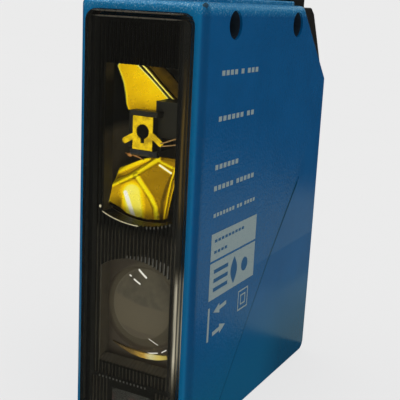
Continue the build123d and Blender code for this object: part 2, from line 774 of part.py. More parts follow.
with BuildPart() as control_lid:
    # Smoked lid that swings up about the pin along its upper edge.
    with BuildSketch(Plane.YZ):
        with BuildLine():
            Polyline(
                (BACK, HINGE_Z),
                (BACK, PANEL_BOTTOM_Z + 0.15),
                (BACK - LID_THICKNESS, PANEL_BOTTOM_Z + 0.15),
                (BACK - LID_THICKNESS, HINGE_Z),
                close=True,
            )
        make_face()
        with Locations((HINGE_Y, HINGE_Z)):
            Circle(KNUCKLE_RADIUS)
            Circle(HINGE_PIN_RADIUS + FIT_GAP, mode=Mode.SUBTRACT)
    extrude(amount=PANEL_HALF_WIDTH - 0.1, both=True)
save(control_lid, "control_lid")

with BuildPart() as lid_hinge_pin:
    with BuildSketch(Plane.YZ):
        with Locations((HINGE_Y, HINGE_Z)):
            Circle(HINGE_PIN_RADIUS)
    extrude(amount=PANEL_HALF_WIDTH + 1.0, both=True)
save(lid_hinge_pin, "lid_hinge_pin")

# ---- Swivelling connector --------------------------------------------------
seat_sum = chamfer_sum + TURRET_GAP * sqrt(2)  # y + z along the underside of the hood

with BuildPart() as connector_turret:
    with BuildSketch(Plane.YZ):
        with BuildLine():
            Polyline(
                (seat_sum - 87.2, 87.2),
                (24.0, 87.2),
                (25.6, 86.0),
                (28.95, 80.0),
                (BACK - 0.05, 73.6),
                (BACK - 0.05, seat_sum - BACK + 0.05),
                close=True,
            )
        make_face()
    extrude(amount=HOOD_HALF_WIDTH, both=True)
    fillet(connector_turret.faces().filter_by(Axis.X).edges().filter_by(
        lambda e: e.center().Y + e.center().Z > seat_sum + 1), 0.8)
    with BuildSketch(Plane.YZ):
        with BuildLine():
            Polyline(
                (seat_sum - 87.2, 87.2),
                (COLUMN_FRONT_Y, seat_sum - COLUMN_FRONT_Y),
                (COLUMN_FRONT_Y, COLUMN_TOP_Z),
                (COLUMN_BACK_Y, COLUMN_TOP_Z),
                (COLUMN_BACK_Y, 85.0),
                (seat_sum - 85.0, 85.0),
                close=True,
            )
        make_face()
    extrude(amount=COLUMN_HALF_WIDTH, both=True)
    column_corners = connector_turret.edges().filter_by(Axis.Z).filter_by(
        lambda e: e.center().Z > 87.5
    )
    fillet(column_corners, 2.0)
    with BuildSketch(Plane.XY.offset(COLUMN_TOP_Z)):
        with Locations((0, CONNECTOR_Y)):
            Circle(FLANGE_RADIUS + 0.4)
    extrude(amount=-2.4)
    fillet(connector_turret.faces().sort_by(Axis.Z)[-1].edges(), 0.4)
    with BuildSketch(turret_plane.offset(TURRET_GAP + 1.0)):
        Circle(SPIGOT_RADIUS)
    extrude(amount=-(SPIGOT_DEPTH + TURRET_GAP + 1.0))
    with BuildSketch(turret_plane.offset(TURRET_GAP)):
        Circle(9.0)
        Circle(7.6, mode=Mode.SUBTRACT)
    extrude(amount=0.8, mode=Mode.SUBTRACT)
    with BuildSketch(turret_plane.offset(-SPIGOT_DEPTH - 1)):
        Circle(THROAT_RADIUS)
    extrude(amount=SPIGOT_DEPTH + 3.5, mode=Mode.SUBTRACT)
    with BuildSketch(Plane.XY.offset(COLUMN_TOP_Z)):
        with Locations((0, CONNECTOR_Y)):
            Circle(THROAT_RADIUS)
    extrude(amount=-11.0, mode=Mode.SUBTRACT)
save(connector_turret, "connector_turret")

with BuildPart() as turret_seal:
    with BuildSketch(turret_plane.offset(FIT_GAP)):
        Circle(9.0)
        Circle(7.6, mode=Mode.SUBTRACT)
    extrude(amount=TURRET_GAP + 0.8 - FIT_GAP)
save(turret_seal, "turret_seal")

with BuildPart() as turret_retainer:
    # Split ring that holds the spigot from inside the housing.
    with BuildSketch(turret_plane.offset(-END_WALL - FIT_GAP)):
        Circle(8.0)
        Circle(SPIGOT_RADIUS, mode=Mode.SUBTRACT)
        with Locations((0, -7)):
            Rectangle(1.6, 4, mode=Mode.SUBTRACT)
    extrude(amount=-1.1)
save(turret_retainer, "turret_retainer")

with BuildPart() as connector_shell:
    # M12 plug shell, its thread a plain cylinder at the major diameter.
    with BuildSketch(Plane.XY.offset(COLUMN_TOP_Z)):
        with Locations((0, CONNECTOR_Y)):
            Circle(FLANGE_RADIUS)
    extrude(amount=FLANGE_HEIGHT)
    with BuildSketch(Plane.XY.offset(COLUMN_TOP_Z + FLANGE_HEIGHT)):
        with Locations((0, CONNECTOR_Y)):
            Circle(THREAD_RADIUS)
    extrude(amount=THREAD_TOP_Z - COLUMN_TOP_Z - FLANGE_HEIGHT)
    chamfer(connector_shell.faces().sort_by(Axis.Z)[-1].edges(), 0.5)
    with BuildSketch(Plane.XY.offset(COLUMN_TOP_Z)):
        with Locations((0, CONNECTOR_Y)):
            Circle(THROAT_RADIUS)
    extrude(amount=THREAD_TOP_Z - COLUMN_TOP_Z, mode=Mode.SUBTRACT)
save(connector_shell, "connector_shell")

with BuildPart() as connector_insert:
    with BuildSketch(Plane.XY.offset(COLUMN_TOP_Z)):
        with Locations((0, CONNECTOR_Y)):
            Circle(THROAT_RADIUS)
            with PolarLocations(PIN_CIRCLE_RADIUS, 4, start_angle=45):
                Circle(PIN_RADIUS, mode=Mode.SUBTRACT)
    extrude(amount=3.0)
    with BuildSketch(Plane.XY.offset(COLUMN_TOP_Z + 3.0)):
        with Locations((0, CONNECTOR_Y + THROAT_RADIUS - 0.65)):
            Rectangle(1.2, 1.0)
    extrude(amount=5.0)
save(connector_insert, "connector_insert")

with BuildPart() as connector_pins:
    with BuildSketch(Plane.XY.offset(COLUMN_TOP_Z - 2.5)):
        with Locations((0, CONNECTOR_Y)):
            with PolarLocations(PIN_CIRCLE_RADIUS, 4, start_angle=45):
                Circle(PIN_RADIUS)
    extrude(amount=11.5)
    fillet(connector_pins.faces().sort_by(Axis.Z)[-4:].edges(), 0.3)
save(connector_pins, "connector_pins")

# ---- Harness ---------------------------------------------------------------
with BuildPart() as harness:
    # Four leads from just below the turret to the header on the main board.
    for lead in range(4):
        shift = (lead - 1.5) * 1.5
        with BuildLine() as route:
            FilletPolyline(
                (shift, 20.4, 74.6),
                (shift, 17.6, 71.8),
                (shift * 0.5 + 1.5, 14.4 + shift * 0.6, 66.0 + shift * 0.3),
                (MAIN_BOARD_X - 3.0, 14.4 + shift * 0.6, 66.0 + shift * 0.3),
                radius=1.2,
            )
        with BuildSketch(Plane(origin=route.line @ 0, z_dir=route.line % 0)):
            Circle(0.45)
        sweep(path=route.line)
save(harness, "harness")
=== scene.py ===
"""Looks of the photoelectric sensor: materials, printing, thread, light and camera."""

import json
import math

import bmesh
import bpy
from mathutils import Matrix, Vector


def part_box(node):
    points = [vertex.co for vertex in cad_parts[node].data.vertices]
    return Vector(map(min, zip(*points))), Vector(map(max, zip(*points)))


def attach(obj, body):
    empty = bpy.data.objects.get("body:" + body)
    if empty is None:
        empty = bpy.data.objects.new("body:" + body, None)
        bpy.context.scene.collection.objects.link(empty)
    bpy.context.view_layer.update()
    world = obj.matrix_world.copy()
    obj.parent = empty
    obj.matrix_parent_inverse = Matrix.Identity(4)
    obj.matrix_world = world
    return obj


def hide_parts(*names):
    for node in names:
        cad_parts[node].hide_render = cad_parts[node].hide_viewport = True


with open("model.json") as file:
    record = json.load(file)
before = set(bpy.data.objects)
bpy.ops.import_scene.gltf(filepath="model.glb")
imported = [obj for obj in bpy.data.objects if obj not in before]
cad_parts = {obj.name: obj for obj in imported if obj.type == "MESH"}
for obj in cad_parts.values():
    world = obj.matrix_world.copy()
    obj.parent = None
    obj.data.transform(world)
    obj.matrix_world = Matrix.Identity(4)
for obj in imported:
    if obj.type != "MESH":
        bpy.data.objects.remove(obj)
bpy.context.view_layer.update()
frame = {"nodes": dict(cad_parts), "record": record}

nodes = frame["nodes"]
MM = 0.001

# The part in millimetres: +X is the printed flank, -Y the window, +Z up.
FLANK_X = 13.5
FRONT_Y = -31.0
WINDOW_Y = -32.5
HOLE_Y = (-18.8, 12.0)
HOLE_Z = 83.5
HOLE_RADIUS = 2.7
CREASE = ((-21.2, 0.0), (4.3, 31.5), (18.2, 46.9))  # (Y, Z) down the flanks
BLOCK_FACE_Y = -30.5  # the ribbed face of the optics block
OPENING_HALF_WIDTH = 7.9  # a hair inside both openings' sides
RIB_PITCH = 0.85
RIB_HALF_WIDTH = 0.17
FIRST_RIB, LAST_RIB = -9, 9  # ribs counted from the middle
RECEIVER_ARC_Z, RECEIVER_ARC_RADIUS = 64.4, 19.5
SENDER_Z, SENDER_RADIUS = 24.5, 13.4
SENDER_BOTTOM_Z = 14.5
PLAIN_BAND_Z = 12.0
INK_HEIGHT, PLATE_INK_HEIGHT = 0.03, 0.02


def lerp(start, end, share):
    return start + (end - start) * share


def share_of(value, zero, one):
    """0 where value is zero, 1 where it is one, straight between them and flat beyond."""
    return max(0.0, min(1.0, (value - zero) / (one - zero)))


def turns_of(count):
    """Angles spread evenly round a circle."""
    return [2 * math.pi * k / count for k in range(count)]


def at_knots(knots, place):
    """The value at place, on straight lines through rising (place, value) knots."""
    for (p0, v0), (p1, v1) in zip(knots, knots[1:]):
        if place <= p1:
            break
    return lerp(v0, v1, (place - p0) / (p1 - p0))


def receiver_lip_z(x):
    """Height of the receiver opening's curved lower lip."""
    return RECEIVER_ARC_Z - math.sqrt(RECEIVER_ARC_RADIUS ** 2 - x ** 2)


# ---- Material helpers ------------------------------------------------------
class Shader:
    """A material with short calls for the few nodes that are used here."""

    def __init__(self, name):
        self.material = bpy.data.materials.new(name)
        self.material.use_nodes = True
        self.tree = self.material.node_tree
        self.surface = self.tree.nodes["Principled BSDF"]
        self.place = self.add("TexCoord").outputs["Object"]

    def add(self, kind, **settings):
        node = self.tree.nodes.new("ShaderNode" + kind)
        for key, value in settings.items():
            setattr(node, key, value)
        return node

    def feed(self, socket, value):
        """Link a socket to a node's output, or set its value; colours are opaque."""
        if isinstance(value, bpy.types.NodeSocket):
            self.tree.links.new(value, socket)
        elif socket.type == "RGBA":
            socket.default_value = (*value, 1)
        else:
            socket.default_value = value

    def fill(self, node, **inputs):
        """Feed a node's inputs by name, with underscores for spaces; gives its first output."""
        for key, value in inputs.items():
            self.feed(node.inputs[key.replace("_", " ")], value)
        return node.outputs[0]

    def set(self, **inputs):
        """Feed the Principled surface."""
        self.fill(self.surface, **inputs)

    def make(self, kind, **inputs):
        """The first output of a new node, its inputs fed by name."""
        return self.fill(self.add(kind), **inputs)

    def mix(self, amount, first, second):
        """A closure from first to second."""
        node = self.add("MixShader")
        for socket, value in zip(node.inputs, (amount, first, second)):
            self.feed(socket, value)
        return node.outputs[0]

    def use(self, closure):
        """Take closure for the surface in place of the Principled one."""
        self.feed(self.tree.nodes["Material Output"].inputs["Surface"], closure)
        self.tree.nodes.remove(self.surface)

    def noise(self, size_mm, detail=3.0, roughness=0.55, stretch=(1, 1, 1)):
        """Noise from 0 to 1 whose blobs are about size_mm across."""
        scale = [s / (size_mm * MM) for s in stretch]
        place = self.make("Mapping", Vector=self.place, Scale=scale)
        node = self.add("TexNoise")
        self.fill(node, Vector=place, Scale=1.0, Detail=detail, Roughness=roughness)
        return node.outputs["Fac"]

    def vary(self, low, high, size_mm, *noise):
        """A value that wanders between low and high, with noise's arguments."""
        return self.remap(self.noise(size_mm, *noise), 0.3, 0.7, low, high)

    def remap(self, value, low, high, new_low=0.0, new_high=1.0):
        """value from low..high to new_low..new_high, clamped."""
        node = self.add("MapRange")
        for socket, number in zip(node.inputs, (value, low, high, new_low, new_high)):
            self.feed(socket, number)
        return node.outputs["Result"]

    def band(self, value, rise, fall):
        """1 between two slopes, each given as the value at its 0 and at its 1."""
        return self.times(self.remap(value, *rise), self.remap(value, *fall))

    def math(self, operation, a, b=0.0):
        node = self.add("Math", operation=operation)
        self.feed(node.inputs[0], a)
        self.feed(node.inputs[1], b)
        return node.outputs[0]

    def times(self, a, b):
        return self.math("MULTIPLY", a, b)

    def plus(self, a, b):
        return self.math("ADD", a, b)

    def minus(self, a, b):
        return self.math("SUBTRACT", a, b)

    def absolute(self, value):
        return self.math("ABSOLUTE", value)

    def length(self, a, b):
        """Length of the flat vector (a, b)."""
        return self.math("SQRT", self.plus(self.math("POWER", a, 2.0), self.math("POWER", b, 2.0)))

    def blend(self, amount, first, second):
        """A colour from first to second."""
        node = self.add("Mix", data_type="RGBA")
        self.feed(node.inputs["Factor"], amount)
        self.feed(node.inputs[6], first)
        self.feed(node.inputs[7], second)
        return node.outputs[2]

    def layers(self, base, *covers):
        """Colours laid over base in turn, each as (where, strength, colour)."""
        for where, strength, colour in covers:
            base = self.blend(self.times(where, strength), base, colour)
        return base

    def ramp(self, value, stops):
        """A colour along a run of (position, colour) stops."""
        node = self.add("ValToRGB")
        elements = node.color_ramp.elements
        while len(elements) < len(stops):
            elements.new(0.5)
        for element, (position, colour) in zip(elements, stops):
            element.position = position
            element.color = (*colour, 1)
        self.feed(node.inputs["Fac"], value)
        return node.outputs["Color"]

    def axis(self, index):
        """The place along X, Y or Z in millimetres."""
        parts = self.add("SeparateXYZ")
        self.feed(parts.inputs[0], self.place)
        return self.math("DIVIDE", parts.outputs[index], MM)

    def distance(self, point_mm):
        """Distance in millimetres from a point."""
        node = self.add("VectorMath", operation="DISTANCE")
        self.feed(node.inputs[0], self.place)
        node.inputs[1].default_value = [c * MM for c in point_mm]
        return self.math("DIVIDE", node.outputs["Value"], MM)

    def ellipse(self, x, z, centre, radii):
        """0 in the middle of an ellipse in front view, 1 on its rim."""
        across = self.math("DIVIDE", self.minus(x, centre[0]), radii[0])
        up = self.math("DIVIDE", self.minus(z, centre[1]), radii[1])
        return self.length(across, up)

    def near_line(self, u, v, start, end):
        """Distance in the (u, v) plane from a straight line, in millimetres."""
        run = Vector(end) - Vector(start)
        du, dv = self.minus(u, start[0]), self.minus(v, start[1])
        along = self.plus(self.times(du, run.x), self.times(dv, run.y))
        share = self.remap(along, 0.0, run.length_squared)
        off_u = self.minus(du, self.times(share, run.x))
        off_v = self.minus(dv, self.times(share, run.y))
        return self.length(off_u, off_v)

    def rounded(self, radius_mm):
        """Normals as though edges were rounded by radius_mm."""
        node = self.add("Bevel", samples=4)
        node.inputs["Radius"].default_value = radius_mm * MM
        return node.outputs["Normal"]

    def edges(self, radius_mm):
        """1 at a sharp or rounded edge, 0 on a flat face."""
        dot = self.add("VectorMath", operation="DOT_PRODUCT")
        self.feed(dot.inputs[0], self.rounded(radius_mm))
        self.feed(dot.inputs[1], self.add("NewGeometry").outputs["Normal"])
        return self.remap(dot.outputs["Value"], 0.98, 0.85)

    def bump(self, height, depth_mm, strength, edge_mm=0.0):
        """Surface relief of depth_mm, over edges softened by edge_mm."""
        relief = self.add("Bump")
        self.fill(relief, Strength=strength, Distance=depth_mm * MM, Height=height)
        if edge_mm:
            self.fill(relief, Normal=self.rounded(edge_mm))
        self.set(Normal=relief.outputs["Normal"])


def grey(value):
    return (value, value, value)


def dimmed(colour, share):
    return tuple(c * share for c in colour)


def powder_coat():
    """Blue textured coat with worn edges that carry painted highlights, one chipped corner, painted
    light on the front, the top and the foot, a painted sparkle on the top edge, and painted shade
    in the crease, beside the front edge, at the bottom back and in the bores.
    """
    s = Shader("blue_powder_coat")
    x, y, z = s.axis(0), s.axis(1), s.axis(2)
    to_side = s.absolute(x)
    # Painted floor light, lighter and greener towards the foot, and painted shade towards the
    # bottom back.
    painted_floor_light = s.remap(z, 26.0, 8.0)
    painted_back_shade = s.times(s.remap(z, 22.0, 6.0), s.remap(y, 4.0, 16.0))
    # Painted light on the front face.
    painted_front_light = s.times(s.remap(y, FRONT_Y + 0.6, FRONT_Y + 0.1), s.remap(to_side, 12.9, 12.4))
    # Painted light on the top.
    painted_top_light = s.remap(z, 85.0, 86.4)
    # Painted sparkle highlights along the top edge.
    painted_sparkle = s.times(s.remap(z, 84.9, 86.2), s.remap(s.noise(0.36, 3.0, 0.7), 0.54, 0.66))
    # Edges lighter, partly as wear and partly as painted highlight.
    worn_edge_highlight = s.times(s.edges(0.9), s.remap(s.noise(0.35, 4.0, 0.7), 0.60, 0.75))
    ragged = s.plus(s.distance((13.0, -30.2, 87.0)), s.times(s.noise(0.8, 4.0), 1.6))
    chip = s.math("LESS_THAN", ragged, 1.45)
    # Painted shade at the rounded edge between the front and the right flank.
    corner = s.times(s.remap(x, 12.6, 13.2), s.remap(y, -28.6, -29.8))
    # Painted shadow along the crease, where the coat also shines less.
    to_crease = s.math("MINIMUM", *[s.near_line(y, z, a, b) for a, b in zip(CREASE, CREASE[1:])])
    crease_shadow = s.times(s.remap(to_crease, 0.62, 0.36), s.math("GREATER_THAN", to_side, 12.9))
    cloud = s.remap(s.noise(9.0, 2.0), 0.35, 0.65)
    colour = s.layers(
        s.blend(cloud, (0.0006, 0.080, 0.226), (0.0012, 0.089, 0.250)),
        (painted_floor_light, 0.8, (0.0010, 0.104, 0.212)),
        (painted_back_shade, 0.6, (0.0006, 0.050, 0.110)),
        (painted_front_light, 0.7, (0.0016, 0.190, 0.410)),
        (painted_top_light, 0.75, (0.0060, 0.190, 0.410)),
        (painted_sparkle, 0.7, (0.22, 0.46, 0.60)),
        (worn_edge_highlight, 0.35, (0.12, 0.30, 0.44)),
        (chip, 1.0, (0.028, 0.060, 0.080)),
        (corner, 0.45, (0.0008, 0.040, 0.110)),
        (crease_shadow, 0.85, (0.0008, 0.048, 0.100)),
    )
    # Painted shade in the bores.
    inside = s.math("LESS_THAN", to_side, FLANK_X - 0.5)
    for hole_y in HOLE_Y:
        reach = s.length(s.minus(y, hole_y), s.minus(z, HOLE_Z))
        bore = s.times(inside, s.math("LESS_THAN", reach, HOLE_RADIUS + 0.1))
        colour = s.blend(bore, colour, (0.020, 0.030, 0.042))

    # Orange peel: shallow behind the crease, deeper in front of it and deepest on the top.
    crease_slope = CREASE[1][1] / (CREASE[1][0] - CREASE[0][0])
    behind = s.math("LESS_THAN", z, s.times(s.minus(y, CREASE[0][0]), crease_slope))
    peel = s.plus(s.remap(behind, 0, 1, 1.5, 0.35), s.remap(z, 84.5, 86.5, 0.0, 2.0))
    s.set(
        Base_Color=colour,
        Roughness=s.vary(0.17, 0.23, 1.2),
        Specular_IOR_Level=s.remap(crease_shadow, 0.0, 1.0, 0.5, 0.12),
    )
    s.bump(s.times(s.noise(0.55), peel), 0.12, 0.6)
    return s.material


def moulded(name, colour, roughness, grain_mm=0.12, relief_mm=0.006):
    """Injection moulded plastic: fine grain, faint cloudiness and softened edges."""
    s = Shader(name)
    s.set(
        Base_Color=s.blend(s.vary(0.0, 1.0, 3.0), dimmed(colour, 0.72), colour),
        Roughness=s.vary(roughness - 0.07, roughness + 0.07, 0.9),
    )
    s.bump(s.noise(grain_mm), relief_mm, 0.6, edge_mm=0.12)
    return s.material


def metal(name, colour, roughness):
    """Polished metal with a faint tarnish."""
    s = Shader(name)
    s.set(
        Base_Color=s.blend(s.remap(s.noise(1.6, 4.0), 0.42, 0.78), colour, dimmed(colour, 0.7)),
        Metallic=0.6,
        Roughness=s.vary(roughness * 0.7, roughness * 1.4, 0.5, 3.0, 0.6),
    )
    s.bump(s.noise(0.3, 2.0, 0.5), 0.004, 0.5, edge_mm=0.08)
    return s.material


def see_through(name, tint, gloss_roughness, ior=1.49, haze=0.0, haze_colour=(0.3, 0.3, 0.28)):
    """Clear plastic without bending of light: a tint, a Fresnel gloss and some haze."""
    s = Shader(name)
    body = s.make("BsdfTransparent", Color=tint)
    if haze:
        milk = s.make("BsdfDiffuse", Color=haze_colour)
        body = s.mix(s.vary(haze * 0.7, haze * 1.3, 4.0), body, milk)
    shine = s.make("BsdfGlossy", Roughness=gloss_roughness)
    s.use(s.mix(s.make("Fresnel", IOR=ior), body, shine))
    return s.material


def window_plastic():
    """Clear moulding whose right edge carries painted gold and cream reflections of the gilt and
    the sender lens, glowing a little.
    """
    s = Shader("window_plastic")
    x, z = s.axis(0), s.axis(2)
    to_side = s.absolute(x)
    # Painted reflections on the right edge: gold beside the receiver, cream beside the sender.
    edge = s.times(s.remap(x, 10.3, 10.6), s.remap(x, 11.15, 10.85, 0.07, 1.0))
    gold = s.band(z, (46.0, 52.0), (78.0, 66.0))
    cream = s.band(z, (12.0, 20.0), (39.0, 35.0))
    streaks = s.remap(s.noise(0.7, 2.0, 0.5, (1, 1, 0.04)), 0.34, 0.62, 0.35, 1.0)
    amount = s.times(s.times(edge, s.plus(gold, cream)), streaks)
    glow = s.blend(cream, (0.12, 0.075, 0.014), (0.85, 0.78, 0.58))
    # The painted reflections glow through an emission, though the window is no lamp.
    painted_glow = s.add("AddShader")
    s.feed(painted_glow.inputs[0], s.make("BsdfDiffuse", Color=glow))
    painted_emission = s.make("Emission", Color=glow, Strength=s.remap(edge, 0.5, 1.0, 0.0, 0.35))
    s.feed(painted_glow.inputs[1], painted_emission)
    clear = s.make("BsdfTransparent", Color=(0.93, 0.93, 0.90))
    body = s.mix(s.times(amount, 0.85), clear, painted_glow.outputs[0])

    # Dust: specks near the sides and a thin film that thickens there.
    speck = s.remap(s.noise(0.22, 2.0), 0.70, 0.74)
    specks = s.times(speck, s.remap(to_side, 9.4, 10.6, 0.003, 0.40))
    film = s.remap(to_side, 9.0, 9.9, 0.010, 0.028)
    dusty = s.mix(s.plus(specks, film), body, s.make("BsdfDiffuse", Color=(0.35, 0.35, 0.30)))
    s.use(s.mix(s.make("Fresnel", IOR=1.3), dusty, s.make("BsdfGlossy", Roughness=0.03)))
    return s.material


def gilt(name="gilt", roughness=0.07, wave_mm=0.012, shade=(0.88, 0.54, 0.005)):
    """Gold plating, faintly wavy."""
    s = Shader(name)
    s.set(
        Base_Color=s.blend(s.remap(s.noise(1.6, 3.0), 0.42, 0.66), (0.96, 0.66, 0.012), shade),
        Metallic=1.0,
        Roughness=s.vary(roughness * 0.7, roughness * 1.5, 0.6),
    )
    s.bump(s.noise(0.9), wave_mm, 0.5, edge_mm=0.1)
    return s.material


def light_painted_gilt():
    """Folded gold plating with painted light: its colour goes from brown shade to cream highlight
    with the mesh's attribute of painted light.
    """
    s = Shader("light_painted_gilt")
    painted_light = s.add("Attribute", attribute_name="painted_light").outputs["Fac"]
    # From brown painted shade to a cream painted highlight.
    stops = (
        (0.0, (0.010, 0.007, 0.003)),
        (0.30, (0.32, 0.175, 0.003)),
        (0.50, (0.62, 0.36, 0.004)),
        (0.65, (0.97, 0.60, 0.003)),
        (0.78, (1.0, 0.82, 0.008)),
        (0.90, (1.0, 0.95, 0.26)),
        (1.0, (1.0, 0.98, 0.92)),
    )
    s.set(
        Base_Color=s.ramp(s.plus(painted_light, s.vary(-0.02, 0.02, 2.4, 1.0)), stops),
        Metallic=0.7,
        Roughness=s.vary(0.26, 0.32, 1.6, 1.0),
        Specular_IOR_Level=0.0,
    )
    s.bump(s.noise(1.6, 1.0), 0.006, 0.4)
    return s.material


# Ellipses of painted reflections in the sender lens in front view: centre (X, Z) and radii.
DOME = ((1.2, 27.8), (8.4, 8.6))
INNER_DOME = ((1.0, 28.2), (6.5, 7.0))
INNER_OUTLINE = ((1.0, 28.2), (6.6, 7.1))
SIDE_RING = ((4.9, 31.0), (2.3, 3.0))
PAINTED_GLINTS = (  # painted glints: start, end, half width
    ((-0.7, 34.9), (1.4, 33.8), 0.20),
    ((-1.2, 33.1), (0.4, 32.5), 0.17),
    ((-2.5, 33.6), (-2.1, 33.5), 0.16),
    ((2.9, 21.4), (4.4, 20.1), 0.10),
    ((1.7, 17.4), (4.0, 18.0), 0.14),
    ((5.0, 18.4), (6.0, 19.1), 0.13),
)


def milky_lens():
    """Sender lens: cloudy plastic with the tube's rings and other reflections painted in its dome,
    and painted glints of the lamp that glow.
    """
    s = Shader("milky_lens")
    x, z = s.axis(0), s.axis(2)
    dome = s.remap(s.ellipse(x, z, *DOME), 1.04, 0.98)
    inner = s.remap(s.ellipse(x, z, *INNER_DOME), 1.03, 0.98)
    level = s.plus(s.plus(z, s.times(x, 0.16)), s.vary(-0.3, 0.3, 5.0, 1.0))
    upper = s.times(inner, s.remap(level, 28.5, 29.0))
    lower = s.times(inner, s.remap(level, 23.2, 22.7))
    off_outline = s.absolute(s.minus(s.ellipse(x, z, *INNER_OUTLINE), 1.0))
    outline = s.times(s.remap(off_outline, 0.022, 0.008), s.remap(x, 0.5, -3.0))
    off_ring = s.absolute(s.minus(s.ellipse(x, z, *SIDE_RING), 1.0))
    ring = s.times(s.remap(off_ring, 0.26, 0.0), s.remap(x, 5.2, 3.2))
    mottle = s.remap(s.noise(2.6, 2.0), 0.38, 0.62)
    # Painted reflections: a lighter dome, its inner disc, mottled upper and lower patches, an
    # outline and a ring.
    colour = s.layers(
        (0.17, 0.135, 0.10),
        (dome, 1.0, (0.25, 0.21, 0.145)),
        (inner, 1.0, (0.385, 0.325, 0.230)),
        (upper, 1.0, s.blend(mottle, (0.275, 0.240, 0.180), (0.355, 0.310, 0.225))),
        (lower, 1.0, (0.330, 0.275, 0.205)),
        (outline, 0.6, (0.46, 0.41, 0.32)),
        (ring, 0.6, (0.34, 0.30, 0.215)),
    )
    # Painted glints, glowing though the lens is no lamp.
    painted_glint = 0.0
    for start, end, half_width in PAINTED_GLINTS:
        line = s.remap(s.near_line(x, z, start, end), half_width, half_width * 0.5)
        painted_glint = s.math("MAXIMUM", painted_glint, line)
    s.set(
        Base_Color=colour,
        Roughness=0.5,
        Coat_Weight=0.7,
        Coat_Roughness=0.04,
        Emission_Color=(1.0, 0.98, 0.92),
        Emission_Strength=s.times(painted_glint, 0.9),
    )
    s.bump(s.noise(6.0, 2.0), 0.05, 0.3)
    return s.material


def optics_plastic():
    """Ribbed moulding, blacker on its upper face as painted shade, browner and paler as painted
    light lower on its face, on the openings' side walls and inside its two chambers.
    """
    s = Shader("optics_plastic")
    x, y, z = s.axis(0), s.axis(1), s.axis(2)
    behind_face = s.remap(y, BLOCK_FACE_Y + 0.05, BLOCK_FACE_Y + 0.4)
    in_sender = s.remap(z, 44.0, 42.0)
    low_receiver = s.remap(z, 63.5, 61.5)
    # Painted shade on the upper face, painted light lower down.
    face = s.blend(s.remap(z, 62.0, 46.0), grey(0.003), (0.023, 0.0215, 0.017))
    # Painted light on the openings' side walls and inside both chambers.
    wall = s.times(s.remap(s.absolute(x), 7.6, 7.8), s.remap(y, -30.1, -29.8))
    lit = s.math("MAXIMUM", low_receiver, s.remap(z, 71.5, 74.0))
    receiver_lip = s.blend(s.times(lit, wall), (0.022, 0.020, 0.017), (0.16, 0.14, 0.10))
    sender_lip = s.blend(wall, (0.20, 0.175, 0.137), (0.37, 0.32, 0.245))
    receiver_depths = s.blend(low_receiver, (0.060, 0.056, 0.052), (0.46, 0.39, 0.28))
    colour = s.blend(behind_face, face, s.blend(in_sender, receiver_lip, sender_lip))
    depths = s.blend(in_sender, receiver_depths, (0.34, 0.30, 0.24))
    colour = s.blend(s.remap(y, -27.4, -26.9), colour, depths)
    dull = s.times(behind_face, s.remap(z, 42.0, 44.0))
    s.set(
        Base_Color=s.blend(s.vary(0.8, 1.0, 3.0), grey(0.003), colour),
        Roughness=s.vary(0.34, 0.46, 0.9),
        Specular_IOR_Level=s.remap(dull, 0.0, 1.0, 0.4, 0.05),
    )
    s.bump(s.noise(0.12), 0.006, 0.6, edge_mm=0.12)
    return s.material


def crescent_gilt():
    """The sender's gilt dish: painted shade in brown at its ends and a painted cream highlight
    where the lamp shows.
    """
    s = Shader("crescent_gilt")
    x = s.plus(s.axis(0), s.vary(-0.25, 0.25, 1.5, 2.0))
    stops = (
        (0.0, (0.10, 0.070, 0.035)),
        (0.28, (0.30, 0.19, 0.055)),
        (0.48, (0.86, 0.52, 0.10)),
        (0.58, (1.0, 0.92, 0.52)),
        (0.74, (1.0, 0.80, 0.22)),
        (0.92, (0.62, 0.46, 0.12)),
    )
    s.set(
        Base_Color=s.ramp(s.remap(x, -5.0, 8.0), stops),
        Metallic=0.2,
        Roughness=s.vary(0.5, 0.6, 2.5),
        Specular_IOR_Level=0.0,
    )
    return s.material


def print_ink(name, colour):
    """Screen print with thin spots where the coat's grain shows through."""
    s = Shader(name)
    worn = s.remap(s.noise(0.22, 4.0, 0.7), 0.55, 0.72)
    s.set(
        Base_Color=s.layers(colour, (worn, 0.7, (0.02, 0.11, 0.24))),
        Roughness=s.vary(0.4, 0.55, 0.5),
    )
    s.bump(s.noise(0.26, 3.0, 0.6), 0.02, 0.5)
    return s.material


def circuit_board():
    """Green solder resist over faint tracks."""
    s = Shader("circuit_board")
    upright = (math.pi / 2, 0, 0)  # the tracks are drawn in X and Z
    tracks = s.add("TexBrick", offset=0.5)
    s.fill(
        tracks,
        Vector=s.make("Mapping", Vector=s.place, Scale=(600, 600, 600), Rotation=upright),
        Color1=(0.012, 0.10, 0.045),
        Color2=(0.016, 0.12, 0.055),
        Mortar=(0.035, 0.19, 0.09),
    )
    s.set(Base_Color=tracks.outputs["Color"], Roughness=s.vary(0.28, 0.4, 1.0))
    s.bump(tracks.outputs["Fac"], 0.02, 0.5)
    return s.material


def lamp_plastic(name, colour, glow):
    """Translucent lamp body with a little light of its own."""
    s = Shader(name)
    s.set(
        Base_Color=s.blend(s.noise(0.6), colour, dimmed(colour, 0.6)),
        Roughness=s.vary(0.2, 0.3, 0.4),
        Subsurface_Weight=0.2,
        Emission_Color=colour,
        Emission_Strength=glow,
    )
    return s.material


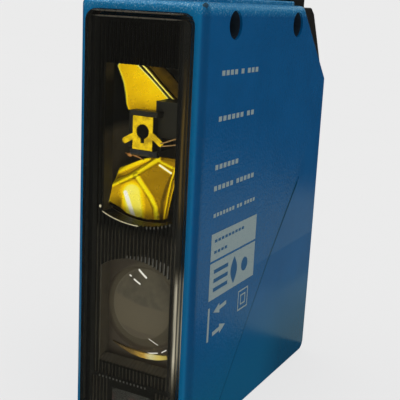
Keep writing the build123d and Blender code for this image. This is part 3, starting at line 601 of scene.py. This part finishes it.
CREAM_HAZE = (0.34, 0.30, 0.22)
looks = {  # by material slot
    "blue_powder_coat": powder_coat(),
    "window_plastic": window_plastic(),
    "seal_rubber": moulded("seal_rubber", grey(0.018), 0.65, 0.3, 0.02),
    "black_plastic": moulded("black_plastic", (0.017, 0.0165, 0.014), 0.34),
    "dark_grey_plastic": moulded("dark_grey_plastic", (0.085, 0.079, 0.060), 0.45),
    "gilt": gilt(),
    "copper": metal("copper", (0.82, 0.45, 0.2), 0.25),
    "circuit_board": circuit_board(),
    "lens_plastic": see_through("lens_plastic", (0.80, 0.77, 0.70), 0.03, 1.5, 0.12, CREAM_HAZE),
    "indicator_plastic": see_through("indicator_plastic", (0.7, 0.78, 0.7), 0.08, 1.5, 0.35),
    "red_lamp": lamp_plastic("red_lamp", (0.55, 0.03, 0.02), 0.3),
    "steel": metal("steel", (0.55, 0.55, 0.56), 0.3),
    "white_plastic": moulded("white_plastic", (0.60, 0.60, 0.57), 0.45),
    "knob_plastic": moulded("knob_plastic", (0.70, 0.69, 0.66), 0.4),
    "smoked_plastic": see_through("smoked_plastic", (0.78, 0.79, 0.82), 0.03),
    "nickel_plated": metal("nickel_plated", (0.62, 0.60, 0.57), 0.22),
    "wire_insulation": moulded("wire_insulation", (0.30, 0.14, 0.06), 0.4, 0.4, 0.01),
}
own_looks = {  # by node, in place of its slot's look
    "carrier_clip": moulded("carrier_clip", (0.085, 0.092, 0.105), 0.3),
    "sense_wires": moulded("sense_wires", (0.42, 0.24, 0.08), 0.3),
    "lead_frame": gilt("satin_gilt", 0.30, 0.02, (0.52, 0.33, 0.012)),
    "receiver_board": moulded("receiver_board", (0.36, 0.315, 0.235), 0.5),
    "sender_reflector": crescent_gilt(),
    "sender_tube": moulded("sender_cream", (0.225, 0.20, 0.155), 0.5),
    "sender_lens": milky_lens(),
    "optics_block": optics_plastic(),
}
PRINT = print_ink("print_ink", (0.27, 0.345, 0.345))
PLATE_INK = print_ink("plate_ink", (0.02, 0.10, 0.22))
LIGHT_PAINTED_GILT = light_painted_gilt()
# Pale rib ends: painted highlights.
RIB_END_HIGHLIGHT = moulded("rib_end_highlight", (0.36, 0.35, 0.33), 0.3)
# A cream bead: a painted highlight.
BEAD_HIGHLIGHT = moulded("bead_highlight", (0.88, 0.80, 0.60), 0.3)
LEAD_COPPER = moulded("lead_copper", (0.62, 0.26, 0.06), 0.3)
# Grey window lip lines: painted highlights.
LIP_HIGHLIGHT = moulded("lip_highlight", (0.095, 0.090, 0.070), 0.3)

for entry in frame["record"]["subparts"]:
    mesh = nodes[entry["node"]].data
    mesh.materials.clear()
    mesh.materials.append(own_looks.get(entry["node"]) or looks[entry["material_slot"]])


# ---- Pieces made here -------------------------------------------------------
def new_object(name, data):
    thing = bpy.data.objects.new(name, data)
    bpy.context.scene.collection.objects.link(thing)
    return thing


def new_piece(name, bm, material, body="base", smooth=False):
    """A piece built in millimetres that rides on body, in the given material."""
    bmesh.ops.recalc_face_normals(bm, faces=bm.faces)
    bmesh.ops.scale(bm, vec=(MM, MM, MM), verts=bm.verts)
    mesh = bpy.data.meshes.new(name)
    bm.to_mesh(mesh)
    bm.free()
    for polygon in mesh.polygons:
        polygon.use_smooth = smooth
    mesh.materials.append(material)
    piece = new_object(name, mesh)
    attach(piece, body)
    return piece


def bridge(bm, low, high):
    """Faces all the way round between two rings of vertices."""
    for i in range(len(low)):
        bm.faces.new((low[i - 1], low[i], high[i], high[i - 1]))


def add_tube(bm, points, radius, sides=8):
    """A closed round bar through points in a plane that faces the window, its ends drawn in."""
    out = Vector((0, -1, 0))
    last = len(points) - 1
    points = [Vector(p) for p in points]
    rings = []
    for i, centre in enumerate(points):
        along = (points[min(i + 1, last)] - points[max(i - 1, 0)]).normalized()
        side = along.cross(out)
        reach = radius * (0.35 if i in (0, last) else 1.0)
        spokes = [(out * math.cos(t) + side * math.sin(t)) * reach for t in turns_of(sides)]
        rings.append([bm.verts.new(centre + spoke) for spoke in spokes])
    for lower, upper in zip(rings, rings[1:]):
        bridge(bm, lower, upper)
    bm.faces.new(rings[0])
    bm.faces.new(rings[-1][::-1])


def add_blob(bm, place, radius, stretch):
    """A ball stretched along X, Y and Z."""
    verts = bmesh.ops.create_icosphere(bm, subdivisions=3, radius=radius)["verts"]
    bmesh.ops.scale(bm, vec=stretch, verts=verts)
    bmesh.ops.translate(bm, vec=place, verts=verts)


# ---- Printing on the right flank, with outlines in (Y, Z) ---------------------
def box_outline(u0, v0, u1, v1):
    return [(u0, v0), (u1, v0), (u1, v1), (u0, v1)]


def disc_outline(u, v, radius, steps=24):
    return [(u + radius * math.cos(t), v + radius * math.sin(t)) for t in turns_of(steps)]


def frame_outlines(u0, v0, u1, v1, stroke):
    """Four bars around a rectangle."""
    return [
        box_outline(u0, v0, u1, v0 + stroke),
        box_outline(u0, v1 - stroke, u1, v1),
        box_outline(u0, v0 + stroke, u0 + stroke, v1 - stroke),
        box_outline(u1 - stroke, v0 + stroke, u1, v1 - stroke),
    ]


def placeholder_row(words, start, middle, height, pitch):
    """Solid blocks in place of lettering, so many to a word, with a wider gap between words."""
    block_width, word_gap = pitch * 0.68, pitch * 0.6
    low, high = middle - height / 2, middle + height / 2
    outlines = []
    u = start
    for count in words:
        for _ in range(count):
            outlines.append(box_outline(u, low, u + block_width, high))
            u += pitch
        u += word_gap
    return outlines


def arrow_outline(tip, tail, half_shaft=0.42, half_head=1.05, head=2.6):
    """A flat arrow from tail to tip."""
    tip, tail = Vector(tip), Vector(tail)
    along = (tip - tail).normalized()
    side = Vector((-along.y, along.x))
    neck = tip - along * head
    right = [tail + side * half_shaft, neck + side * half_shaft, neck + side * half_head]
    left = [neck - side * half_head, neck - side * half_shaft, tail - side * half_shaft]
    return [(p.x, p.y) for p in (*right, tip, *left)]


def lens_outline(u, v, sagitta, half_height, steps=12):
    """A lens seen from the side."""
    turns = [i / steps for i in range(steps)]
    side = [(sagitta * math.cos(math.pi * (t - 0.5)), half_height * (2 * t - 1)) for t in turns]
    return [(u + du, v + dv) for du, dv in side] + [(u - du, v - dv) for du, dv in side]


def printed(name, outlines, level, height, ink):
    """Flat outlines on the right flank, raised by height from level."""
    bm = bmesh.new()
    for outline in outlines:
        low = [bm.verts.new((FLANK_X + level, y, z)) for y, z in outline]
        high = [bm.verts.new((FLANK_X + level + height, y, z)) for y, z in outline]
        bm.faces.new(low[::-1])
        bm.faces.new(high)
        bridge(bm, low, high)
    return new_piece(name, bm, ink)


FLANK_ROWS = (  # blocks to each word, start, middle, height, pitch
    ((4, 1, 3), -23.5, 74.8, 0.95, 1.78),
    ((6, 2), -23.9, 66.3, 0.95, 1.85),
    ((6,), -24.3, 57.1, 0.95, 1.72),
    ((5, 5), -24.4, 53.0, 0.95, 1.72),
    ((7, 2, 4), -24.0, 47.6, 0.75, 1.34),
)
PLATE_ROWS = (((4,), -22.9, 40.0, 0.55, 1.5), ((9,), -22.9, 42.3, 0.55, 1.5))


def flank_print():
    """Pale ink: rows of blocks, a two-part plate, a double square, a bar and two arrows."""
    outlines = [block for row in FLANK_ROWS for block in placeholder_row(*row)]
    plate = [box_outline(-24.3, 38.4, -3.7, 43.9), box_outline(-24.3, 30.2, -3.7, 37.9)]
    outer_square = frame_outlines(-10.7, 23.9, -5.9, 28.4, 0.3)
    inner_square = frame_outlines(-9.5, 25.0, -7.1, 27.3, 0.3)
    bar = box_outline(-24.25, 21.55, -23.55, 28.7)
    forward_arrow = arrow_outline((-21.9, 27.25), (-16.3, 27.8))
    back_arrow = arrow_outline((-16.3, 23.1), (-21.9, 22.6))
    outlines += plate + outer_square + inner_square + [bar, forward_arrow, back_arrow]
    return printed("flank_print", outlines, 0.0, INK_HEIGHT, PRINT)


def plate_print():
    """Blue marks on the pale plate: rows of blocks above, three beams, a lens and a spot below."""
    middle, half_beam = 34.05, 0.4
    outlines = [block for row in PLATE_ROWS for block in placeholder_row(*row)]
    outlines.append(lens_outline(-13.6, middle, 1.5, 2.9))
    for beam in (middle - 1.9, middle, middle + 1.9):
        outlines.append(box_outline(-22.6, beam - half_beam, -16.4, beam + half_beam))
    outlines.append(disc_outline(-8.6, middle, 1.5))
    return printed("plate_print", outlines, INK_HEIGHT, PLATE_INK_HEIGHT, PLATE_INK)


# ---- Gilt reflectors of the receiver -----------------------------------------
def off_line(points, x, z):
    """Distance from (x, z) to a run of straight lines."""
    best = math.inf
    for (x0, z0), (x1, z1) in zip(points, points[1:]):
        dx, dz = x1 - x0, z1 - z0
        share = share_of((x - x0) * dx + (z - z0) * dz, 0.0, dx * dx + dz * dz)
        best = min(best, math.hypot(x - x0 - share * dx, z - z0 - share * dz))
    return best


def light_painted_sheet(name, front, back, painted_light_at):
    """A closed gilt sheet between two grids of places, with painted light at each vertex from the
    given function of (x, z).
    """
    bm = bmesh.new()
    front, back = ([[bm.verts.new(p) for p in row] for row in grid] for grid in (front, back))
    rows, columns = len(front) - 1, len(front[0]) - 1
    for j in range(rows):
        for i in range(columns):
            bm.faces.new((front[j][i], front[j][i + 1], front[j + 1][i + 1], front[j + 1][i]))
            bm.faces.new((back[j][i], back[j + 1][i], back[j + 1][i + 1], back[j][i + 1]))
    for j in (0, rows):
        for i in range(columns):
            bm.faces.new((front[j][i], front[j][i + 1], back[j][i + 1], back[j][i]))
    for i in (0, columns):
        for j in range(rows):
            bm.faces.new((front[j][i], front[j + 1][i], back[j + 1][i], back[j][i]))
    piece = new_piece(name, bm, LIGHT_PAINTED_GILT, smooth=True)
    painted_lights = piece.data.attributes.new("painted_light", "FLOAT", "POINT")
    for vertex, painted_light in zip(piece.data.vertices, painted_lights.data):
        painted_light.value = painted_light_at(vertex.co.x / MM, vertex.co.z / MM)
    return piece


# The lower mirror's three facets meet at the fold point; slopes are (along X, along Z).
FOLD_POINT = (-3.2, -25.4, 53.6)
LEFT_FACET, RIGHT_FACET, TOP_FACET = (0.30, 0.003), (0.385, 0.056), (0.117, 0.301)
# Each facet also gets its own level of painted light and shade.
FACET_PAINTED_LIGHT = {LEFT_FACET: 0.48, RIGHT_FACET: 0.31, TOP_FACET: 0.40}
FOIL_FRONTMOST_Y = -26.9  # keeps the folds behind the ribbed face
FOIL_THICKNESS = 0.5

# Its outline: (Z, X) knots up the sides and (X, Z) knots along the top, and (X, Z) knots of the
# dark foot, below which the foil carries painted shade.
FOIL_BOTTOM = 43.7
FOIL_LEFT = ((FOIL_BOTTOM, -7.9), (51.6, -7.9), (54.9, -7.1), (57.8, -6.8))
FOIL_RIGHT = ((FOIL_BOTTOM, 2.7), (45.3, 2.9), (50.5, 3.7), (52.7, 4.2), (57.8, 4.4))
FOIL_TOP = ((-6.8, 54.7), (-3.8, 56.2), (-2.3, 56.9), (0.4, 57.5), (4.4, 57.2))
FOIL_FOOT = ((-7.9, 48.1), (-5.1, 45.6), (-3.0, 45.0), (-1.1, 44.7), (1.3, 44.9), (2.9, 45.2))

# Lines over it, in (X, Z).
UPPER_BAND = ((-7.4, 54.0), (-4.6, 55.5), (-1.6, 57.1))
LOWER_BAND = ((-7.9, 51.4), (-4.8, 52.9), (-2.4, 54.7), (-0.1, 56.4), (1.0, 57.4))
LONG_RIDGE = ((-3.2, 53.4), (-1.8, 51.4), (-0.3, 49.3), (0.7, 47.2), (1.1, FOIL_BOTTOM))
SHORT_RIDGE = ((1.0, 56.5), (3.4, 55.4))
INNER_STRIP = ((4.2, 56.7), (3.7, 54.4), (3.3, 52.8), (2.9, 50.0), (2.3, FOIL_BOTTOM))
OUTER_STRIP = ((4.4, 55.7), (4.1, 53.1), (3.6, 50.1), (2.8, FOIL_BOTTOM))
FOLDS = (  # line, half width, height
    (UPPER_BAND, 0.85, 0.20),
    (LOWER_BAND, 0.80, 0.24),
    (LONG_RIDGE, 0.80, 0.22),
    (SHORT_RIDGE, 0.35, 0.12),
    (INNER_STRIP, 0.30, 0.12),
    (OUTER_STRIP, 0.25, 0.10),
)
LINES_OF_PAINTED_LIGHT = (  # painted light along lines: line, half width, tone: 0 is brown shade, 1 is cream highlight
    (((-7.9, 47.6), (-7.9, 51.6), (-7.1, 54.9)), 0.28, 0.74),
    (((-7.6, 49.6), (-4.0, 51.8)), 1.6, 0.44),
    (((-4.1, 50.0), (-3.4, 44.6)), 2.6, 0.84),
    (((-0.6, 47.0), (-0.6, 44.6)), 0.9, 0.50),
    (((-5.4, 49.8), (-4.8, 48.1), (-3.7, 45.1)), 0.55, 1.0),
    (UPPER_BAND, 0.85, 0.74),
    (LOWER_BAND, 0.75, 0.74),
    (LONG_RIDGE, 0.62, 0.78),
    (((3.4, 54.1), (2.5, 51.7), (1.8, 48.5), (1.9, 44.0)), 0.40, 0.12),
    (((1.4, 57.2), (4.0, 56.9)), 0.45, 0.22),
    (SHORT_RIDGE, 0.36, 0.74),
    (((0.9, 55.8), (3.1, 54.4)), 0.30, 1.0),
    (INNER_STRIP, 0.28, 0.70),
    (OUTER_STRIP, 0.22, 0.60),
)
TONE_FALL = 2.2  # how steeply a tone ends at its line's edge
# Below its foot the foil is painted near black: painted shade.
FOOT_PAINTED_SHADE = 0.02
FOOT_START_X = -7.85  # the left edge keeps its painted highlight down to the bottom
FLAP_REACH = 1.4
FLAP_PAINTED_LIGHT = 0.13  # painted light added for each millimetre of reach


def facet_at(x, z):
    """The facet that stands furthest back at (x, z), as (Y, slope)."""
    dx, dz = x - FOLD_POINT[0], z - FOLD_POINT[2]
    return max((FOLD_POINT[1] + slope[0] * dx + slope[1] * dz, slope) for slope in FACET_PAINTED_LIGHT)


def corner_flap(x, z):
    """How far the left corner reaches forward through the opening, above its lip."""
    sideways = share_of(x, -6.0, -7.9)
    downward = share_of(z, 52.0, 47.8)
    off_lip = share_of(z - receiver_lip_z(x), 0.1, 1.0)
    return FLAP_REACH * sideways * downward * off_lip


def foil_front(x, z):
    """Y of the folded front face."""
    y = facet_at(x, z)[0]
    for points, half_width, height in FOLDS:
        reach = off_line(points, x, z) / half_width
        if reach < 1:
            y -= height * (1 - reach * reach) ** 1.5
    return max(y, FOIL_FRONTMOST_Y) - corner_flap(x, z)


def foil_painted_light(x, z):
    """Painted light of the folded mirror at (x, z), from brown shade to cream highlight."""
    if x > FOOT_START_X and z < at_knots(FOIL_FOOT, x):
        return FOOT_PAINTED_SHADE
    painted_light = FACET_PAINTED_LIGHT[facet_at(x, z)[1]]
    for points, half_width, level in LINES_OF_PAINTED_LIGHT:
        reach = off_line(points, x, z) / half_width
        if reach < 1:
            painted_light = lerp(painted_light, level, min(1.0, (1 - reach) * TONE_FALL))
    return painted_light + FLAP_PAINTED_LIGHT * corner_flap(x, z)


def foil_grid(rows=130, columns=110):
    """(X, Z) places over the outline, row by row from the bottom."""
    grid = []
    for j in range(rows + 1):
        row = []
        for i in range(columns + 1):
            u = i / columns
            top = at_knots(FOIL_TOP, lerp(FOIL_LEFT[2][1], FOIL_RIGHT[-1][1], u))
            z = lerp(FOIL_BOTTOM, top, j / rows)
            row.append((lerp(at_knots(FOIL_LEFT, z), at_knots(FOIL_RIGHT, z), u), z))
        grid.append(row)
    return grid


def folded_reflector():
    """The receiver's lower mirror: flat facets between rounded folds."""
    front = [[(x, foil_front(x, z), z) for x, z in row] for row in foil_grid()]
    back = [[(x, y + FOIL_THICKNESS, z) for x, y, z in row] for row in front]
    piece = light_painted_sheet("folded_reflector", front, back, foil_painted_light)
    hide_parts("lower_mirror")
    return piece


# The concave mirror's leaf, rim and cone: a ball's inside between two edges of (Z, X) knots.
MIRROR_CENTRE = (8.0, -62.95, 72.0)
MIRROR_RADIUS = 40.0
LEAF_BOTTOM, RIM_BOTTOM, LEAF_TOP = 66.3, 68.9, 77.2
LEAF_LEFT = (
    (LEAF_BOTTOM, -5.5), (67.4, -6.0), (69.0, -6.3),
    (71.5, -6.8), (74.7, -7.9), (75.5, -7.3), (LEAF_TOP, -6.9),
)
LEAF_RIGHT = (
    (LEAF_BOTTOM, 1.2), (68.8, 1.25), (68.9, 2.45), (69.6, 1.65),
    (71.7, -0.5), (74.0, -2.9), (75.5, -4.4), (LEAF_TOP, -5.8),
)
RIM_LEFT = (
    (RIM_BOTTOM, 2.75), (69.65, 1.95), (71.7, -0.2),
    (74.1, -2.6), (75.5, -3.9), (LEAF_TOP, -5.3),
)
RIM_RIGHT = (
    (RIM_BOTTOM, 4.0), (69.7, 3.0), (71.75, 0.7),
    (74.35, -1.7), (75.5, -3.1), (LEAF_TOP, -4.5),
)
GROOVE = 0.2  # between the rim and the cone
CONE_LEFT = tuple((z, x + GROOVE) for z, x in RIM_RIGHT)
CONE_RIGHT = ((RIM_BOTTOM, 4.4), (71.0, 5.0), (72.5, 3.55), (75.3, 0.6), (LEAF_TOP, -1.2))


def mirror_patch(name, left, right, painted_light_at, lift=0.0, thickness=0.6, bulge=0.0):
    """A patch of the mirror between two edges; bulge rounds it across its width."""
    rows, columns = 44, 30
    grids = []
    for depth in (lift, lift + thickness):
        grid = []
        for j in range(rows + 1):
            z = lerp(left[0][0], LEAF_TOP, j / rows)
            row = []
            for i in range(columns + 1):
                u = i / columns
                x = lerp(at_knots(left, z), at_knots(right, z), u)
                radius = MIRROR_RADIUS - bulge * (1 - (2 * u - 1) ** 2) + depth
                out = radius ** 2 - (x - MIRROR_CENTRE[0]) ** 2 - (z - MIRROR_CENTRE[2]) ** 2
                row.append((x, MIRROR_CENTRE[1] + math.sqrt(out), z))
            grid.append(row)
        grids.append(grid)
    return light_painted_sheet(name, *grids, painted_light_at)


def leaf_painted_light(x, z):
    """Yellow with a painted cream highlight along its left and right edges, a little lighter to the
    right, and browner at its bottom as painted shade.
    """
    left, right = at_knots(LEAF_LEFT, z), at_knots(LEAF_RIGHT, z)
    share = (x - left) / (right - left)
    bottom = share_of(z, LEAF_BOTTOM + 3.0, LEAF_BOTTOM)
    edge = share_of(min(x - left, right - x), 0.5, 0.0)
    return min(0.90, 0.59 + 0.09 * share - 0.15 * bottom + 0.38 * edge)


def rim_painted_light(x, z):
    """A painted cream highlight between two brown lines of painted shade."""
    left, right = at_knots(RIM_LEFT, z), at_knots(RIM_RIGHT, z)
    share = (x - left) / (right - left)
    if share < 0.22:
        return 0.08
    return 0.86 if share < 0.62 else 0.06


def cone_painted_light(x, z):
    """Dull brown painted shade, darker to both sides."""
    left, right = at_knots(CONE_LEFT, z), at_knots(CONE_RIGHT, z)
    return 0.060 - 0.05 * abs((x - left) / max(right - left, 0.1) - 0.35)


def concave_mirror():
    """The receiver's upper mirror: a plain leaf, a rounded rim beside it and a dull cone."""
    leaf = mirror_patch("concave_mirror", LEAF_LEFT, LEAF_RIGHT, leaf_painted_light)
    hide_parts("upper_mirror")
    rim = mirror_patch("mirror_rim", RIM_LEFT, RIM_RIGHT, rim_painted_light, bulge=0.1)
    cone = mirror_patch("mirror_cone", CONE_LEFT, CONE_RIGHT, cone_painted_light, lift=0.1, thickness=0.5)
    return leaf, rim, cone


# ---- Fine ribs and beads of the optics block ---------------------------------
def add_wedge(bm, x, low, high, proud_low, proud_high, sunk=0.05):
    """A rib end from low to high, standing proud of the ribbed face by two heights."""
    corners = []
    for z, proud in ((low, proud_low), (high, proud_high)):
        for side in (-RIB_HALF_WIDTH, RIB_HALF_WIDTH):
            corners.append(bm.verts.new((x + side, BLOCK_FACE_Y + sunk, z)))
            corners.append(bm.verts.new((x + side * 0.7, BLOCK_FACE_Y - proud, z)))
    a, b, c, d, e, f, g, h = corners
    bottom, top, back, front = (a, b, d, c), (e, g, h, f), (a, c, g, e), (b, f, h, d)
    for face in (bottom, top, (a, e, f, b), (c, d, h, g), front, back):
        bm.faces.new(face)


def rib_ends():
    """Rib ends in pale grey as painted highlights, above the sender's arch, below the receiver and
    over the plain band.
    """
    gap = 0.1
    bm = bmesh.new()
    for k in range(-2, LAST_RIB + 1):
        x = k * RIB_PITCH
        low = SENDER_Z + math.sqrt(SENDER_RADIUS ** 2 - min(x, OPENING_HALF_WIDTH) ** 2) + gap
        length = 0.55 + 0.22 * max(k, 0)  # longer to the right
        add_wedge(bm, x, low, low + length, 0.12, 0.0)
    for k in range(3, LAST_RIB + 1):
        x = k * RIB_PITCH
        add_wedge(bm, x, receiver_lip_z(x) - 0.55, receiver_lip_z(x) - gap, 0.0, 0.10)
    for k in range(FIRST_RIB, 5):
        add_wedge(bm, k * RIB_PITCH, PLAIN_BAND_Z - 0.75, PLAIN_BAND_Z - 0.35, 0.08, 0.08)
    return new_piece("rib_ends", bm, RIB_END_HIGHLIGHT)


def ledge_bead():
    """A cream bead as a painted highlight along the left half of the receiver's lower lip, with a
    blob at its end.
    """
    end, steps, below_lip = 0.7, 24, 0.08
    bm = bmesh.new()
    places = [lerp(-OPENING_HALF_WIDTH, end, i / steps) for i in range(steps + 1)]
    add_tube(bm, [(x, BLOCK_FACE_Y, receiver_lip_z(x) - below_lip) for x in places], 0.11)
    add_blob(bm, (-8.3, BLOCK_FACE_Y, 47.4), 0.28, (1.0, 0.5, 1.2))
    return new_piece("ledge_bead", bm, BEAD_HIGHLIGHT, smooth=True)


def sender_sill():
    """A sloping ribbed sill along the bottom of the sender's opening."""
    inner_y = -28.4
    bm = bmesh.new()

    def add_slope(x0, x1, rise):
        section = (
            (BLOCK_FACE_Y, SENDER_BOTTOM_Z),
            (BLOCK_FACE_Y, SENDER_BOTTOM_Z + 0.15 + rise),
            (inner_y, SENDER_BOTTOM_Z + 1.3 + rise),
            (inner_y, SENDER_BOTTOM_Z),
        )
        left, right = ([bm.verts.new((x, y, z)) for y, z in section] for x in (x0, x1))
        bm.faces.new(left)
        bm.faces.new(right[::-1])
        bridge(bm, left, right)

    add_slope(-OPENING_HALF_WIDTH, OPENING_HALF_WIDTH, 0.0)
    for k in range(FIRST_RIB, LAST_RIB + 1):
        add_slope(k * RIB_PITCH - RIB_HALF_WIDTH, k * RIB_PITCH + RIB_HALF_WIDTH, 0.12)
    return new_piece("sender_sill", bm, own_looks["optics_block"])


def plate_lead():
    """A soldered copper lead under the gilt plate."""
    y = -24.9
    bm = bmesh.new()
    add_tube(bm, [(-6.4, y, 57.5), (-5.2, y, 57.4), (-3.9, y, 57.3), (-2.2, y, 56.7)], 0.26)
    add_blob(bm, (-4.9, -25.5, 57.45), 0.5, (1.3, 0.6, 0.8))
    return new_piece("plate_lead", bm, LEAD_COPPER, smooth=True)


def window_lip():
    """Two fine raised lines along the window's upper edge, grey as painted highlight lines."""
    lines = ((85.1, -9.6, 9.9, 0.14), (84.15, -9.4, 9.5, 0.15))  # height, two ends, radius
    steps = 12
    bm = bmesh.new()
    for z, x0, x1, radius in lines:
        add_tube(bm, [(lerp(x0, x1, i / steps), WINDOW_Y, z) for i in range(steps + 1)], radius)
    return new_piece("window_lip", bm, LIP_HIGHLIGHT, smooth=True)


# ---- Threaded connector shell ------------------------------------------------
def threaded_shell():
    """The plug thread: a turned sleeve with a rounded helical thread and a plain flange."""
    low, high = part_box("connector_shell")
    axis_y = (low[1] + high[1]) / 2 / MM
    base, top = low[2] / MM, high[2] / MM
    crest, root, bore, flange = 6.0, 5.42, 4.4, 7.5  # radii
    bevel, flange_height, around = 0.25, 1.4, 96
    pitch, steps_per_turn, run_in, run_out = 1.0, 10, 0.5, 0.3
    flange_top = base + flange_height
    start, end = flange_top + 0.5, top - 0.5
    turns = turns_of(around)
    bm = bmesh.new()
    rings = []

    def add_ring(radii, height):
        places = [(r * math.cos(t), axis_y + r * math.sin(t), height) for r, t in zip(radii, turns)]
        rings.append([bm.verts.new(place) for place in places])

    def thread_radius(turn, height, fade):
        off_crest = abs((height / pitch - turn / (2 * math.pi)) % 1.0 - 0.5)
        return lerp(root, crest, share_of(off_crest, 1.25 / 3, 0.25 / 3) * fade)

    flange_side = [(flange - bevel, base), (flange, base + bevel)]
    flange_side += [(flange, flange_top - bevel), (flange - bevel, flange_top)]
    for radius, height in [(bore, base), *flange_side, (root, flange_top), (root, start)]:
        add_ring([radius] * around, height)
    count = int((end - start) / pitch * steps_per_turn)
    for k in range(1, count + 1):
        height = lerp(start, end, k / count)
        fade = min(1.0, (height - start) / run_in, (end - height) / run_out + 0.15)
        add_ring([thread_radius(t, height, fade) for t in turns], height)
    mouth = [(root - 0.4, top), (bore + 0.3, top), (bore, top - 0.3)]
    for radius, height in [(root, end + 0.02), *mouth]:
        add_ring([radius] * around, height)
    for lower, upper in zip(rings, rings[1:] + rings[:1]):
        bridge(bm, lower, upper)
    nickel = looks["nickel_plated"]
    piece = new_piece("threaded_shell", bm, nickel, "connector", smooth=True)
    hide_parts("connector_shell")
    return piece


flank_print()
plate_print()
foil = folded_reflector()
leaf, rim, cone = concave_mirror()
rib_ends()
bead = ledge_bead()
sender_sill()
lead = plate_lead()
window_lip()
shell = threaded_shell()

# ---- Floor, light and camera ----------------------------------------------
BACKDROP = 0.83
FILL_LIGHT = 0.34
ROOM_REFLECTION = 0.025
OVERHEAD_LIGHT = 2.2
SKY_TINT = (0.6, 0.9, 1.0)
FLOOR_TINT = (0.88, 1.0, 0.72)


def build_world():
    """Pale backdrop for the eye, a dimmer room as fill light and a dark room in reflections."""
    world = bpy.data.worlds.new("studio")
    world.use_nodes = True
    tree = world.node_tree
    rays = tree.nodes.new("ShaderNodeLightPath")
    room = tree.nodes.new("ShaderNodeMapRange")
    room.inputs["To Min"].default_value = FILL_LIGHT
    room.inputs["To Max"].default_value = ROOM_REFLECTION
    tree.links.new(rays.outputs["Is Glossy Ray"], room.inputs["Value"])
    seen = tree.nodes.new("ShaderNodeMapRange")
    seen.inputs["To Max"].default_value = BACKDROP
    tree.links.new(rays.outputs["Is Camera Ray"], seen.inputs["Value"])
    tree.links.new(room.outputs["Result"], seen.inputs["To Min"])
    background = tree.nodes["Background"]
    background.inputs["Color"].default_value = (1, 1, 1, 1)
    tree.links.new(seen.outputs["Result"], background.inputs["Strength"])
    bpy.context.scene.world = world
    bpy.context.scene.view_settings.view_transform = "Standard"


def build_floor():
    """A wide pale sheet, partly glowing, that stays out of the object's reflections."""
    half = 40.0  # metres
    mesh = bpy.data.meshes.new("studio_floor")
    corners = [(x, y, 0) for x, y in box_outline(-half, -half, half, half)]
    mesh.from_pydata(corners, [], [(0, 1, 2, 3)])
    floor = new_object("studio_floor", mesh)
    s = Shader("floor_paper")
    s.set(
        Base_Color=s.blend(s.noise(60.0), grey(0.115), grey(0.125)),
        Roughness=1.0,
        Specular_IOR_Level=0.0,
        Emission_Color=grey(1.0),
        Emission_Strength=BACKDROP * 0.85,
    )
    mesh.materials.append(s.material)
    floor.visible_glossy = False


def overhead_light():
    """Broad light from straight above, equal everywhere on the floor."""
    lamp = bpy.data.lights.new("overhead", "SUN")
    lamp.energy = OVERHEAD_LIGHT
    lamp.angle = math.radians(110)
    new_object("overhead", lamp).visible_glossy = False


def softbox(name, place_mm, target_mm, size_mm, radiance, only, tint=(1, 1, 1), diffuse=False):
    """A card of even radiance aimed at target_mm, seen in gloss only unless it is diffuse too."""
    lamp = bpy.data.lights.new(name, "AREA")
    lamp.shape = "RECTANGLE"
    lamp.size, lamp.size_y = size_mm[0] * MM, size_mm[1] * MM
    lamp.color = tint
    lamp.energy = radiance * math.pi * lamp.size * lamp.size_y
    holder = new_object(name, lamp)
    holder.visible_camera = False
    holder.visible_diffuse = diffuse
    place, target = Vector(place_mm) * MM, Vector(target_mm) * MM
    holder.location = place
    holder.rotation_euler = (target - place).to_track_quat("-Z", "Y").to_euler()
    lit = bpy.data.collections.new(name + "_lit")
    for piece in only:
        lit.objects.link(piece)
    holder.light_linking.receiver_collection = lit


def floor_card(name, x, y, size_mm, radiance, only):
    """A card lying on the floor and facing up, for its reflection in low faces."""
    softbox(name, (x, y, 1), (x, y, 60), size_mm, radiance, only, FLOOR_TINT)


def place_camera():
    """The photo's viewpoint: the place is in millimetres and the lens is for a 36 mm sensor."""
    data = bpy.data.cameras.new("camera")
    data.sensor_width = 36.0
    data.lens = 74.55
    data.clip_start, data.clip_end = 0.01, 10
    place = Matrix.Translation(Vector((83.17, -161.04, 87.83)) * MM)
    yaw, pitch, roll = math.radians(27.97), math.radians(13.587), math.radians(2.777)
    turn = Matrix.Rotation(yaw, 4, "Z") @ Matrix.Rotation(math.pi / 2 - pitch, 4, "X")
    camera = new_object("camera", data)
    camera.matrix_world = place @ turn @ Matrix.Rotation(roll, 4, "Z")
    bpy.context.scene.camera = camera


build_world()
build_floor()
overhead_light()
casting = [nodes["housing"]]
glazing = [nodes["front_window"], shell]
low_gloss = casting + [nodes["control_lid"]]
gilding = [foil, leaf, rim, cone, bead, lead]
gilding += [nodes[name] for name in ("lead_frame", "sender_reflector", "sense_wires")]
controls = ("control_lid", "control_plate", "sensitivity_knob", "mode_selector")
rear = [nodes[name] for name in ("connector_turret", *controls)] + [shell]
softbox("top_box", (-170, -90, 400), (0, -20, 80), (300, 300), 3.0, casting, SKY_TINT)
softbox("edge_box", (0, 320, 190), (0, 0, 85), (260, 110), 0.8, casting, SKY_TINT)
softbox("window_box", (-170, -90, 400), (0, -20, 80), (240, 240), 1.6, glazing)
floor_card("flank_card", 76, 118, (128, 170), 0.21, low_gloss)
floor_card("far_card", 76, 134, (128, 138), 0.12, low_gloss)
softbox("horizon_card", (-220, 330, 110), (0, 0, 80), (420, 160), 0.16, casting)
floor_card("left_card", -85, 5, (110, 130), 0.30, casting)
floor_card("rear_card", -54, 137, (124, 185), 0.30, low_gloss)
softbox("rear_box", (-120, 260, 260), (0, 20, 80), (180, 120), 3.0, rear)
softbox("gilt_card", (0, -95, 54), (0, -25, 57), (150, 110), 1.45, gilding, diffuse=True)
place_camera()
